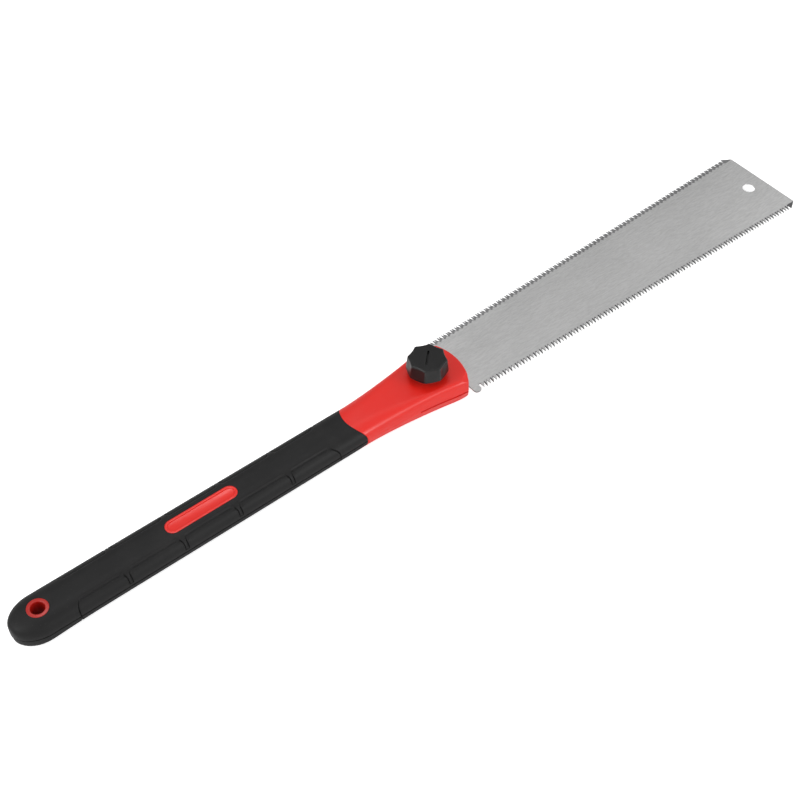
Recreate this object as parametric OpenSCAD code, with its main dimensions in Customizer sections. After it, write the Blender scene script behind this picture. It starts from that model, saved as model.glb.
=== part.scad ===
// Double-edged Japanese pull saw (ryoba) with a changeable blade.
// It lies flat: +X runs from the butt to the blade's toe, +Z up from the
// surface that the handle rests on, and the origin is below the middle of the
// whole saw. Stations along the saw are distances from the butt, in mm.

/* [Handle] */
// Length of the handle, from the butt to the front of the fork
handle_len = 287.4; // [276:0.2:310]
// Thickness of the handle, from the top land to the bottom land
handle_t = 16; // [15:0.5:19]
// Width of the grip
grip_w = 26; // [24:0.5:30]
// Width of the fork at its front corners
fork_w = 40.2; // [38:0.2:42]
// Length of the rounded butt
butt_len = 16.4; // [13:0.2:20]
// Length of the flare from the grip's width to the fork's width
flare_len = 73; // [60:1:76]
// Radius of the flare's outward-curving end
shoulder_r = 50; // [20:5:80]
// Radius of the arc at the front of the fork
front_r = 33.4; // [30:0.2:45]
// Inward slope of the fork's flanks, from the mid-plane to the flat faces
flank_inset = 2.4; // [1:0.1:4]
// Length cut off the fork's front corners, at the flat faces
corner_cut = 4.6; // [2:0.2:7]

/* [Grip] */
// Length of the rubber on the centreline
grip_len = 208.2; // [204:0.2:210]
// Radius of the line between rubber and bare plastic
seam_r = 17.5; // [16:0.5:24]
// Width of the plastic spine inside the rubber
spine_w = 17; // [14:0.5:18]
// Thickness of the plastic spine inside the rubber
spine_t = 11; // [9:0.5:11.5]
// Thickness of the rubber round the end of the spine
butt_wall = 4; // [3:0.5:5]
// Distance from the butt to the side pads
pad_start = 32.2; // [28:0.2:40]
// Length of the row of side pads
pad_run = 163; // [150:0.5:165]
// Height of the side pads
pad_h = 14.6; // [10:0.2:14.6]
// Radius of the corners of the side pads
pad_r = 3.4; // [2:0.2:5]
// Distance between the cross grooves of the side pads
pad_pitch = 33.8; // [30:0.1:36]
// Distance from the start of the pads to the first cross groove
pad_first = 29.8; // [24:0.1:32]
// Number of cross grooves in each row of pads
pad_grooves = 4; // [2:1:4]
// Width of the cross grooves
cross_groove_w = 2.4; // [1.5:0.1:4]
// Width of the groove round each row of pads
edge_groove_w = 0.8; // [0.5:0.1:1.5]
// Depth of the grooves
groove_d = 0.5; // [0.3:0.1:0.8]

/* [Window] */
// Distance from the butt to the middle of the window
window_mid = 113.4; // [90:0.2:130]
// Length of the window
window_len = 44; // [30:1:60]
// Width of the window
window_w = 9; // [7:0.2:11]
// Width of the window's rim
window_rim = 1.4; // [1:0.1:2]
// Depth of the window's sunk field
window_d = 0.7; // [0.4:0.1:1]

/* [Hang hole] */
// Diameter of the hang hole
hang_hole_d = 7.4; // [6:0.1:9]
// Diameter of the ring round the hang hole
hang_ring_d = 11.6; // [10.6:0.1:13]
// Distance of the ring's faces below the lands
hang_ring_sink = 0.2; // [0.1:0.05:0.4]

/* [Blade] */
// Length of blade in front of the fork
blade_reach = 262.6; // [220:0.2:300]
// Thickness of the blade
blade_t = 0.7; // [0.5:0.05:1]
// Width over the teeth at the heel
heel_w = 47; // [44:0.5:50]
// Width over the teeth at the toe
toe_w = 61.2; // [56:0.2:70]
// Length of the cut-off corners at the toe
toe_cut_len = 6.2; // [4:0.2:9]
// Depth of the cut-off corners at the toe
toe_cut_d = 3.8; // [2:0.2:6]
// Rip teeth per inch
rip_tpi = 11; // [7:1:12]
// Crosscut teeth per inch
cross_tpi = 15; // [13:1:18]
// Depth of the rip teeth
rip_depth = 2.6; // [1.6:0.1:3]
// Depth of the crosscut teeth
cross_depth = 2.1; // [1.4:0.1:2.6]
// Sideways set of the teeth
tooth_set = 0.12; // [0.05:0.01:0.2]
// Thickness of the tooth tips
tip_t = 0.25; // [0.15:0.05:0.4]
// Diameter of the hole in the toe
toe_hole_d = 8; // [5:0.5:10]
// Distance of the toe hole from the toe
toe_hole_in = 12.8; // [9:0.2:20]

/* [Tang] */
// Width of the tang in its pocket
tang_w = 20; // [17:0.5:22]
// Length of the tang behind the clamp screw
tang_tail = 28; // [22:1:32]
// Width of the neck at the heel
neck_w = 36; // [32:0.5:37]
// Clearance of the blade in its slot, on each face
slot_clear = 0.06; // [0.04:0.01:0.1]
// Clearance of the tang in its pocket, on each side
tang_clear = 0.3; // [0.2:0.05:0.5]
// Length of the open sides of the slot behind the clamp screw
slit_behind = 17; // [12:0.5:20]

/* [Clamp] */
// Distance of the clamp screw behind the front of the fork
clamp_back = 21; // [19:0.2:24]
// Diameter of the clamp screw
screw_d = 5; // [4:0.5:6]
// Clearance between the screw and the plain holes, on each side
screw_clear = 0.3; // [0.25:0.05:0.5]
// Running clearance between the screw and the nut, on each side
thread_clear = 0.05; // [0.02:0.01:0.08]
// Width of the nut and of the screw's head across the flats
hex_af = 8; // [7.5:0.5:9]
// Thickness of the nut
nut_t = 4; // [3:0.2:4.5]
// Distance of the nut above the bottom land
nut_sink = 0.4; // [0.2:0.1:1]
// Diameter of the washer
washer_d = 15; // [12:0.5:18]
// Thickness of the washer
washer_t = 1.2; // [0.8:0.1:1.6]
// Diameter of the knob over its corners
knob_d = 24.4; // [22:0.2:28]
// Height of the knob with its collar
knob_h = 11.7; // [8.5:0.1:13]
// Height of the knob's collar
collar_h = 2.9; // [1:0.1:3]
// Diameter of the knob's collar
collar_d = 16; // [13:0.5:18]
// Slope of the knob's side, from its widest part to its top
knob_draft = 0.95; // [0.2:0.05:1.5]
// Number of grip faces round the knob
knob_sides = 8; // [6:1:10]
// Depth of the grip faces in the middle
grip_face_d = 1.15; // [0.4:0.05:1.3]
// Angle that the knob's mark is turned to, from the saw's axis
knob_angle = 48; // [0:1:90]

/* [Hidden] */

inch = 25.4;
fine = 96;
eps = 0.01;
past = 1;

// Places along the saw, measured from the butt
total_len = handle_len + blade_reach;
origin_s = total_len / 2;
clamp_s = handle_len - clamp_back;
slit_s = clamp_s - slit_behind;
tang_s = clamp_s - tang_tail;
seam_mid_s = grip_len + seam_r;
front_mid_s = handle_len - front_r;
hang_s = butt_len;

// Heights above the bottom land
mid_z = handle_t / 2;
slot_t = blade_t + 2 * slot_clear;
washer_z = handle_t;
knob_z = washer_z + washer_t;

// The skin is lofted a little thicker than the handle, then cut to the flat lands,
// by more at the fork than at the grip
grip_cut = 0.1;
fork_cut = 0.4;
grip_half_t = handle_t / 2 + grip_cut;
half_w = grip_w / 2;
fork_half_w = fork_w / 2;
grip_roundness = 2.4;
fork_roundness = 12;
around = 48;

// The corners of the fork lie where the front arc meets the full width
corner_s = front_mid_s + sqrt(pow(front_r, 2) - pow(fork_half_w, 2));
flare_end_s = corner_s + past;
flare_s = flare_end_s - flare_len;
flare_rise = fork_half_w - half_w;
flare_turn = 2 * atan(flare_rise / flare_len);
flare_r = flare_len / sin(flare_turn) - shoulder_r;
shoulder_s = flare_s + flare_r * sin(flare_turn);

// The toothed edges
tooth_gap = 1.2;
heel_s = corner_s + 2.4;
heel_len = 5;
heel_r = 2.2;
tooth_s = heel_s + heel_len + tooth_gap;
toe_s = total_len - toe_cut_len;
tooth_run = toe_s - tooth_s;
taper = (toe_w - heel_w) / 2 / tooth_run;
rip_pitch = inch / rip_tpi;
cross_pitch = inch / cross_tpi;

// Half the width of the handle's skin at station s: grip, flare, shoulder, fork
function skin_half_w(s) =
    s <= flare_s ? half_w :
    s <= shoulder_s ? half_w + flare_r - sqrt(pow(flare_r, 2) - pow(s - flare_s, 2)) :
    s <= flare_end_s ? fork_half_w - shoulder_r + sqrt(pow(shoulder_r, 2) - pow(flare_end_s - s, 2)) :
    fork_half_w;

// How far the section has changed from the grip's to the fork's
function fork_share(s) = min(1, max(0, (s - flare_s) / (clamp_s - flare_s)));

// Distance from the centre of a section to its outline, in direction a: a
// superellipse whose sides lean in, with corners that are sharper as round grows
function section_r(a, w, t, lean, round) =
    let (side = (abs(cos(a)) + lean * abs(sin(a))) / w, flat = abs(sin(a)) / t)
    pow(pow(side, round) + pow(flat, round), -1 / round);

// Outline of a section, its points spread as on an ellipse
function section(w, t, lean, round) = [
    for (i = [0 : around - 1])
        let (
            b = 360 * i / around,
            a = atan2(t * sin(b), w * cos(b)),
            r = section_r(a, w, t, lean, round)
        )
        [r * cos(a), r * sin(a)]
];

// Section of the handle at station s
function handle_section(s) =
    let (share = fork_share(s), half_t = grip_half_t + share * (fork_cut - grip_cut))
    section(
        skin_half_w(s), half_t,
        share * flank_inset / half_t,
        grip_roundness + share * share * (fork_roundness - grip_roundness)
    );

// Section of the rounded butt, where angle a runs from the end to the full width
function butt_section(a) =
    section(half_w * sin(a), grip_half_t * sqrt(sin(a)), 0, grip_roundness);

butt_first_a = 12;
butt_steps = 6;
flare_steps = 12;
butt_angles = [for (i = [0 : butt_steps]) butt_first_a + (90 - butt_first_a) * i / butt_steps];
butt_rings = [
    for (a = butt_angles)
        [butt_len * (1 - cos(a) / cos(butt_first_a)), butt_section(a)]
];
flare_rings = [
    for (i = [0 : flare_steps])
        let (s = flare_s + flare_len * i / flare_steps)
        [s, handle_section(s)]
];
front_rings = [[handle_len + past, handle_section(handle_len + past)]];
handle_rings = concat(butt_rings, flare_rings, front_rings);

// Solid through a list of [station, outline] rings with equal point counts
module loft(rings) {
    n = len(rings[0][1]);
    last = len(rings) - 1;
    points = [for (ring = rings) for (p = ring[1]) [ring[0], p[0], p[1]]];
    sides = [
        for (k = [0 : last - 1]) for (i = [0 : n - 1])
            let (j = (i + 1) % n, a = k * n + i, b = k * n + j, c = a + n, d = b + n)
            each [[a, c, b], [b, c, d]]
    ];
    first_cap = [for (i = [0 : n - 1]) i];
    last_cap = [for (i = [n - 1 : -1 : 0]) last * n + i];
    polyhedron(points, concat(sides, [first_cap, last_cap]));
}

// Moves children from the butt's mid-plane frame into the saw's frame
module on_saw() {
    translate([-origin_s, 0, mid_z]) children();
}

// Everything between stations a and b
module stations(a, b) {
    translate([a, -toe_w, -2 * handle_t]) cube([b - a, 2 * toe_w, 4 * handle_t]);
}

// Upright cylinder at station s, from height z0 to height z1 over the mid-plane
module post(s, d, z0, z1) {
    translate([s, 0, z0]) cylinder(d = d, h = z1 - z0, $fn = fine);
}

// Upright hexagonal prism at station s
module hex_post(s, af, z0, z1) {
    translate([s, 0, z0]) cylinder(d = af / cos(30), h = z1 - z0, $fn = 6);
}

// Upright slab with round ends, from station a to station b
module stadium(a, b, w, z0, z1) {
    post(a + w / 2, w, z0, z1);
    post(b - w / 2, w, z0, z1);
    translate([a + w / 2, -w / 2, z0]) cube([b - a - w, w, z1 - z0]);
}

// Plane cut off each of the fork's four front corners
module corner_cuts() {
    turn = 62;
    slope = 35.6;
    for (side = [-1, 1]) for (face = [0, 1])
        mirror([0, 0, face])
            translate([corner_s, side * fork_half_w, handle_t / 2])
                rotate([0, 0, side * turn])
                    translate([-corner_cut, 0, 0])
                        rotate([0, slope, 0])
                            translate([-handle_t, -handle_t, 0]) cube([3 * handle_t, 2 * handle_t, handle_t]);
}

// Outer form of the whole handle, rubber and plastic together
module handle_form() {
    difference() {
        intersection() {
            loft(handle_rings);
            translate([-past, -fork_w, -handle_t / 2]) cube([handle_len + 3 * past, 2 * fork_w, handle_t]);
        }
        difference() {
            stations(front_mid_s, handle_len + 2 * past);
            post(front_mid_s, 2 * front_r, -handle_t, handle_t);
        }
        corner_cuts();
    }
}

// Space in front of the seam between rubber and bare plastic
module bare_space() {
    post(seam_mid_s, 2 * seam_r, -handle_t, handle_t);
    stations(seam_mid_s, handle_len + 2 * past);
}

// Plastic that the rubber is moulded over: spine, windows and hang ring
module spine() {
    ring_face = handle_t / 2 - hang_ring_sink;
    window_face = handle_t / 2 - hang_ring_sink / 2;
    end_s = seam_mid_s;
    bevel = 1.5;
    for (step = [0, 1]) {
        w = spine_w - 2 * bevel * step;
        t = spine_t - 2 * bevel * (1 - step);
        translate([hang_s, -w / 2, -t / 2]) cube([end_s - hang_s, w, t]);
    }
    post(hang_s, 2 * (butt_len - butt_wall), -spine_t / 2 + bevel, spine_t / 2 - bevel);
    post(hang_s, hang_ring_d, -ring_face, ring_face);
    window_slab(window_face);
}

// Slab in the outline of the windows, from face to face
module window_slab(half_h) {
    stadium(window_mid - window_len / 2, window_mid + window_len / 2, window_w, -half_h, half_h);
}

// Outline of the side pads in side view, drawn in by margin at the ends and by less
// at the top and bottom, where the skin slopes away
module pad_field(margin) {
    half_h = pad_h / 2 - margin / 2;
    r = pad_r - margin / 2;
    a = pad_start + margin;
    b = pad_start + pad_run - margin;
    rotate([90, 0, 0])
        for (z = [-half_h, half_h - 2 * r])
            translate([0, z + r, 0])
                stadium(a, b, 2 * r, -grip_w, grip_w);
    translate([a, -grip_w, r - half_h]) cube([b - a, 2 * grip_w, 2 * (half_h - r)]);
}

// Grooves that outline the side pads, cut to an even depth
module pad_grooves_cut() {
    difference() {
        pad_field(0);
        difference() {
            pad_field(edge_groove_w);
            for (i = [0 : pad_grooves - 1])
                translate([pad_start + pad_first + i * pad_pitch - cross_groove_w / 2, -grip_w, -handle_t])
                    cube([cross_groove_w, 2 * grip_w, 2 * handle_t]);
        }
        translate([pad_start - past, 0, 0])
            rotate([90, 0, 90])
                linear_extrude(pad_run + 2 * past)
                    polygon(section(half_w - groove_d, grip_half_t - groove_d, 0, grip_roundness));
    }
}

// Slot for the blade: open to the front and the sides, with a pocket for the tang
module blade_slot() {
    translate([slit_s, -fork_w, -slot_t / 2]) cube([handle_len, 2 * fork_w, slot_t]);
    pocket_w = tang_w + 2 * tang_clear;
    translate([tang_s - tang_clear, -pocket_w / 2, -slot_t / 2])
        cube([slit_s - tang_s + 2 * tang_clear, pocket_w, slot_t]);
}

// One-piece plastic moulding: fork, spine, windows and hang ring
module handle_core() {
    color([0.85, 0.11, 0.08])
        on_saw()
            difference() {
                union() {
                    intersection() {
                        handle_form();
                        bare_space();
                    }
                    spine();
                }
                blade_slot();
                post(clamp_s, screw_d + 2 * screw_clear, -handle_t, handle_t);
                hex_post(clamp_s, hex_af, -handle_t, -handle_t / 2 + nut_sink + nut_t);
                post(hang_s, hang_hole_d, -handle_t, handle_t);
                for (face = [-1, 1])
                    window_sink(face);
            }
}

// Sunk field of the window on one face
module window_sink(face) {
    floor_z = handle_t / 2 - window_d;
    reach = window_len / 2 - window_rim;
    scale([1, 1, face])
        stadium(window_mid - reach, window_mid + reach, window_w - 2 * window_rim, floor_z, handle_t);
}

// Rubber moulded over the spine
module rubber_grip() {
    color([0.09, 0.09, 0.09])
        on_saw()
            difference() {
                handle_form();
                bare_space();
                spine();
                post(hang_s, hang_ring_d, -handle_t, handle_t);
                window_slab(handle_t);
                pad_grooves_cut();
            }
}

// Half the width over the teeth at station s
function edge_half_w(s) = heel_w / 2 + (s - tooth_s) * taper;

// One edge of the blade, from the heel to the toe. Each point is
// [station, half width, height of its upper corner, height of its lower corner, is it a tooth tip].
// The tips lean to alternate sides and are ground thin on the inner side.
function toothed_edge(pitch, depth, lean) =
    let (count = floor(tooth_run / pitch), first = toe_s - count * pitch)
    [
        for (i = [0 : count - 1])
            let (
                s = first + i * pitch,
                up = i % 2 == 0 ? 1 : -1,
                outer = blade_t / 2 + tooth_set,
                inner = outer - tip_t,
                high = up > 0 ? outer : -inner,
                low = up > 0 ? inner : -outer
            )
            each [
                [s, edge_half_w(s) - depth, blade_t / 2, -blade_t / 2, false],
                [s - lean, edge_half_w(s), high, low, true]
            ]
    ];

function flat_point(s, y) = [s, y, blade_t / 2, -blade_t / 2, false];

// Half outline of the blade, from the tail of the tang to the toe. The smooth lobe
// ahead of the teeth stands out past their line by rise.
function half_blade(pitch, depth, lean, rise) =
    let (
        heel_y = edge_half_w(heel_s) + rise,
        relief = 1.2,
        end_y = edge_half_w(toe_s)
    )
    concat(
        [
            flat_point(tang_s, tang_w / 2 - relief),
            flat_point(tang_s + relief, tang_w / 2),
            flat_point(slit_s - past, tang_w / 2),
            flat_point(heel_s - relief, neck_w / 2 - relief),
            flat_point(heel_s, neck_w / 2 - relief / 2)
        ],
        [for (a = [180 : -30 : 0])
            let (x = a > 90 ? heel_s + heel_r : heel_s + heel_len - heel_r)
            each (a == 90 ?
                [flat_point(heel_s + heel_r, heel_y), flat_point(heel_s + heel_len - heel_r, heel_y)] :
                [flat_point(x + heel_r * cos(a), heel_y - heel_r + heel_r * sin(a))])
        ],
        [flat_point(heel_s + heel_len, heel_y - rise - depth)],
        toothed_edge(pitch, depth, lean),
        [
            flat_point(toe_s, end_y - depth),
            flat_point(toe_s + eps, end_y),
            flat_point(total_len, end_y - toe_cut_d)
        ]
    );

function mirrored(points) = [
    for (i = [len(points) - 1 : -1 : 0])
        let (p = points[i])
        [p[0], -p[1], p[2], p[3], p[4]]
];

rip_edge = mirrored(half_blade(rip_pitch, rip_depth, 0.15, 0.6));
cross_edge = half_blade(cross_pitch, cross_depth, 0.25, -1);
blade_outline = concat(rip_edge, cross_edge);

// Plate with its teeth: flat faces through the roots, and faces of their own on each tooth
module toothed_plate() {
    n = len(blade_outline);
    points = [for (side = [2, 3]) for (p = blade_outline) [p[0], p[1], p[side]]];
    roots = [for (i = [0 : n - 1]) if (!blade_outline[i][4]) i];
    tips = [for (i = [0 : n - 1]) if (blade_outline[i][4]) i];
    lower = [for (i = [len(roots) - 1 : -1 : 0]) roots[i] + n];
    upper_teeth = [for (i = tips) [i - 1, i, i + 1]];
    lower_teeth = [for (i = tips) [i + 1 + n, i + n, i - 1 + n]];
    walls = [
        for (i = [0 : n - 1])
            let (j = (i + 1) % n)
            [i, i + n, j + n, j]
    ];
    polyhedron(points, concat([roots, lower], upper_teeth, lower_teeth, walls));
}

// Blade with rip teeth on one edge, crosscut teeth on the other and a slotted tang
module saw_blade() {
    notch_w = screw_d + 2 * screw_clear;
    color([0.72, 0.72, 0.72])
        on_saw()
            difference() {
                toothed_plate();
                post(clamp_s, notch_w, -past, past);
                translate([tang_s - past, -notch_w / 2, -past])
                    cube([tang_tail + past, notch_w, 2 * past]);
                post(total_len - toe_hole_in, toe_hole_d, -past, past);
            }
}

// Outline of half the knob's profile: collar, sloping side and bevelled edges
module knob_profile() {
    r = knob_d / 2;
    top_r = r - knob_draft;
    bevel = 0.5;
    polygon([
        [0, 0],
        [collar_d / 2, 0],
        [collar_d / 2, collar_h],
        [r - bevel, collar_h],
        [r, collar_h + bevel],
        [top_r, knob_h - bevel],
        [top_r - bevel, knob_h],
        [0, knob_h]
    ]);
}

screw_head_z = knob_z + 3;
screw_head_h = 3.5;

// Screw with its hexagonal head moulded into the knob
module screw_form() {
    z0 = nut_sink + 0.2;
    translate([clamp_s - origin_s, 0, z0]) cylinder(d = screw_d, h = screw_head_z - z0 + eps, $fn = fine);
    translate([clamp_s - origin_s, 0, screw_head_z])
        cylinder(d = hex_af / cos(30), h = screw_head_h, $fn = 6);
}

// Slightly hollow grip faces round the knob, sloping as its side does
module grip_faces() {
    hollow_r = 20;
    slope = atan(knob_draft / (knob_h - collar_h));
    for (i = [0 : knob_sides - 1])
        rotate([0, 0, 360 * (i + 0.5) / knob_sides])
            translate([knob_d / 2 - grip_face_d, 0, collar_h])
                rotate([0, -slope, 0])
                    translate([hollow_r, 0, -past]) cylinder(r = hollow_r, h = 2 * knob_h, $fn = fine);
}

module clamp_knob() {
    mark_len = 9.6;
    mark_w = 1;
    mark_d = 0.7;
    color([0.08, 0.08, 0.08])
        difference() {
            translate([clamp_s - origin_s, 0, knob_z])
                rotate([0, 0, knob_angle])
                    difference() {
                        rotate_extrude($fn = fine) knob_profile();
                        grip_faces();
                        translate([-mark_len / 2, -mark_w / 2, knob_h - mark_d])
                            cube([mark_len, mark_w, 2 * mark_d]);
                    }
            screw_form();
        }
}

module clamp_screw() {
    color([0.75, 0.75, 0.76]) screw_form();
}

module clamp_washer() {
    color([0.8, 0.8, 0.8])
        translate([clamp_s - origin_s, 0, washer_z])
            difference() {
                cylinder(d = washer_d, h = washer_t, $fn = fine);
                translate([0, 0, -past])
                    cylinder(d = screw_d + 2 * screw_clear, h = washer_t + 2 * past, $fn = fine);
            }
}

module clamp_nut() {
    color([0.75, 0.75, 0.76])
        on_saw()
            difference() {
                hex_post(clamp_s, hex_af, -handle_t / 2 + nut_sink, -handle_t / 2 + nut_sink + nut_t);
                post(clamp_s, screw_d + 2 * thread_clear, -handle_t, 0);
            }
}

handle_core();
rubber_grip();
saw_blade();
clamp_knob();
clamp_screw();
clamp_washer();
clamp_nut();
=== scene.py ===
"""Double-edged pull saw with a changeable blade: its looks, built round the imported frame.

Shapes are worked out in the saw's own measures: stations s run from the butt, y runs
across and z is the height over the mid-plane, all in millimetres. ``place`` turns them
into metres in the shared frame.
"""

import logging
import math
from abc import ABC, abstractmethod
from collections.abc import Callable, Sequence
from dataclasses import dataclass, replace
from enum import Enum

import bmesh
import bpy
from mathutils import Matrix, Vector


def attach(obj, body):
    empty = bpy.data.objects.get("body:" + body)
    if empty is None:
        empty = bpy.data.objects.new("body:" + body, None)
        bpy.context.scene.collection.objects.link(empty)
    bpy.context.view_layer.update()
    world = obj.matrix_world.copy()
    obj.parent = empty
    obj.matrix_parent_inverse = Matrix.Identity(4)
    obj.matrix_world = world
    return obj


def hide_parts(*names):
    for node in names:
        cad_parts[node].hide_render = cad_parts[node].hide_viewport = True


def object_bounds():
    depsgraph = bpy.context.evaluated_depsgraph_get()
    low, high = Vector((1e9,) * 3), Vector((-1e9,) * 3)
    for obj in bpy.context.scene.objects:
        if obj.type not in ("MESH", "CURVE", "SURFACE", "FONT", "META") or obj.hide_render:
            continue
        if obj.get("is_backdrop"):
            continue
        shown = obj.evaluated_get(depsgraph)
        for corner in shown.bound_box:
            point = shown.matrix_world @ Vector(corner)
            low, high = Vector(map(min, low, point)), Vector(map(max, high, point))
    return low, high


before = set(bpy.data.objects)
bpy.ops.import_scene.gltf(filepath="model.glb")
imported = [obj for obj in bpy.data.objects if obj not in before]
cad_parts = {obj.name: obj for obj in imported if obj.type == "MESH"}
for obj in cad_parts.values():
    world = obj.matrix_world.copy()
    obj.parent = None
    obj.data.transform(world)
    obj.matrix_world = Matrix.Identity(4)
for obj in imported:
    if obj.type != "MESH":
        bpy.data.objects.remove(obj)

LOG = logging.getLogger("pull_saw")
MM = 0.001
INCH = 25.4
HALF_LENGTH = 275.0
MID_HEIGHT = 8.0
# Points closer than this, in metres, are welded when a piece is made and when it is finished
WELD = 1e-7
FINAL_WELD = 2e-7
# Cosines between the normals of the sharpest and the flattest edge that can be rounded
SHARPEST_EDGE = -0.95
FLATTEST_EDGE = 0.9999
# Exponent from which a soft start or end counts as straight
STRAIGHT_FROM = 30.0
# Rounds in which a point of the skin and the station for its half width settle
SETTLING_ROUNDS = 7

Point = tuple[float, float, float]
Colour = tuple[float, float, float]
Ring = Sequence[Sequence[float]]
Piece = bpy.types.Object
Node = bpy.types.Node
Socket = bpy.types.NodeSocket


class Body(Enum):
    """Bodies of the frame that pieces ride on."""

    HANDLE = "handle"
    BLADE = "blade"
    KNOB = "knob"


class Slot(Enum):
    """Material slots of the record."""

    RED_PLASTIC = "red_plastic"
    BLACK_RUBBER = "black_rubber"
    BLADE_STEEL = "blade_steel"
    BLACK_PLASTIC = "black_plastic"
    FASTENER_STEEL = "fastener_steel"


def place(point: Sequence[float]) -> Vector:
    """A point of the saw's own measures, in metres in the shared frame."""
    s, y, z = point
    return Vector(((s - HALF_LENGTH) * MM, y * MM, (z + MID_HEIGHT) * MM))


def station_of(point: Vector) -> float:
    """Station of a point that is given in metres in the shared frame."""
    return point.x / MM + HALF_LENGTH


def smooth_step(value: float) -> float:
    """Smooth ramp from 0 to 1 as value goes from 0 to 1."""
    t = min(1.0, max(0.0, value))
    return t * t * (3 - 2 * t)


def soft_over(value: float, width: float) -> float:
    """How far value is over zero, with a rounded start of about that width."""
    x = value / width
    return value if x > STRAIGHT_FROM else width * math.log1p(math.exp(x))


def spread(start: float, end: float, steps: int) -> list[float]:
    """Evenly spaced values from start up to, but not including, end."""
    return [start + (end - start) * i / steps for i in range(steps)]


def fillet(edge: Vector, skin: Vector, cap: Vector, radius: float, steps: int) -> list[Vector]:
    """Points of the round between two faces that meet at an edge.

    Args:
        edge: Point on the sharp edge.
        skin: Outward unit normal of the first face.
        cap: Outward unit normal of the second face.
        radius: Radius of the round.
        steps: Number of steps from the first face to the second.

    Returns:
        The points, from the first face to the second.
    """
    cos_turn = max(SHARPEST_EDGE, min(FLATTEST_EDGE, skin.dot(cap)))
    centre = edge - (skin + cap) * (radius / (1 + cos_turn))
    turn = math.acos(cos_turn)
    points = []
    for i in range(steps + 1):
        share = i / steps
        direction = (
            skin * math.sin((1 - share) * turn) + cap * math.sin(share * turn)
        ) / math.sin(turn)
        points.append(centre + direction * radius)
    return points


def rounded_edge(
    edge: Sequence[Vector],
    skins: Sequence[Vector],
    caps: Sequence[Vector],
    radius: float,
    steps: int,
) -> list[list[Vector]]:
    """Rings of the round along an edge.

    Args:
        edge: Points on the sharp edge.
        skins: Outward unit normals of the first face at the points.
        caps: Outward unit normals of the second face at the points.
        radius: Radius of the round.
        steps: Number of steps from the first face to the second.

    Returns:
        The rings, from the first face to the second.
    """
    rounds = [fillet(p, skin, cap, radius, steps) for p, skin, cap in zip(edge, skins, caps)]
    return [list(ring) for ring in zip(*rounds)]


def away(p: Vector, mid: float) -> Vector:
    """Level unit vector from the centreline at station mid to a point."""
    return Vector((p.x - mid, p.y, 0.0)).normalized()


class Shell:
    """Points and faces of one closed piece, gathered ring by ring."""

    def __init__(self, name: str) -> None:
        """Starts an empty piece of that name.

        Args:
            name: Name of the piece.
        """
        self.name = name
        self.points: list[Vector] = []
        self.faces: list[tuple[int, ...]] = []

    def ring(self, points: Ring) -> list[int]:
        """Adds points to the shell.

        Args:
            points: The points.

        Returns:
            Their numbers in the shell.
        """
        first = len(self.points)
        self.points.extend(Vector(p) for p in points)
        return list(range(first, len(self.points)))

    def bridge(self, a: Sequence[int], b: Sequence[int]) -> None:
        """Joins two closed rings of equal length with four-sided faces."""
        n = len(a)
        self.faces.extend((a[i], a[(i + 1) % n], b[(i + 1) % n], b[i]) for i in range(n))

    def loft(self, rings: Sequence[Ring], closed: bool = False) -> list[list[int]]:
        """Joins rings in order.

        Args:
            rings: Rings of points, all of equal length.
            closed: Whether the last ring is joined to the first.

        Returns:
            The numbers of the points of each ring.
        """
        made = [self.ring(r) for r in rings]
        for a, b in zip(made, made[1:]):
            self.bridge(a, b)
        if closed:
            self.bridge(made[-1], made[0])
        return made

    def fan(self, ring: Sequence[int], centre: Sequence[float]) -> None:
        """Closes a ring with triangles to a centre point.

        Args:
            ring: Numbers of the points of the ring.
            centre: The centre point.
        """
        (middle,) = self.ring([centre])
        n = len(ring)
        self.faces.extend((ring[i], ring[(i + 1) % n], middle) for i in range(n))

    def upright_cap(self, ring: Sequence[int], rows: int) -> None:
        """Closes a ring that is alike above and below the mid-plane with an upright wall.

        Args:
            ring: Numbers of the ring's points, from the +y flank over the top.
            rows: Number of faces from the top to the bottom.
        """
        n = len(ring)
        half = n // 2
        columns = [[ring[0]]]
        for i in range(1, half):
            top, bottom = self.points[ring[i]], self.points[ring[n - i]]
            inner = self.ring([top.lerp(bottom, k / rows) for k in range(1, rows)])
            columns.append([ring[i], *inner, ring[n - i]])
        columns.append([ring[half]])
        for a, b in zip(columns, columns[1:]):
            for k in range(rows):
                corners = ((a, k), (b, k), (b, k + 1), (a, k + 1))
                face = tuple(dict.fromkeys(col[min(at, len(col) - 1)] for col, at in corners))
                if len(face) > 2:
                    self.faces.append(face)

    def make(self) -> Piece:
        """Makes the object, with its faces turned outward.

        Returns:
            The object.
        """
        mesh = bpy.data.meshes.new(self.name)
        mesh.from_pydata([place(p) for p in self.points], [], self.faces)
        work = bmesh.new()
        work.from_mesh(mesh)
        bmesh.ops.remove_doubles(work, verts=work.verts, dist=WELD)
        bmesh.ops.recalc_face_normals(work, faces=work.faces)
        work.to_mesh(mesh)
        work.free()
        piece = bpy.data.objects.new(self.name, mesh)
        bpy.context.scene.collection.objects.link(piece)
        return piece


def solid(name: str, rings: Sequence[Ring], tube: bool = False) -> Piece:
    """Piece lofted through rings.

    Args:
        name: Its name.
        rings: Rings of points, all of equal length.
        tube: Whether the last ring is joined to the first, and not each closed by a flat end.

    Returns:
        The piece.
    """
    shell = Shell(name)
    made = shell.loft(rings, closed=tube)
    if not tube:
        shell.faces.extend([tuple(made[0][::-1]), tuple(made[-1])])
    return shell.make()


class Operation(Enum):
    """Ways to combine two pieces."""

    CUT = "DIFFERENCE"
    JOIN = "UNION"


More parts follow.
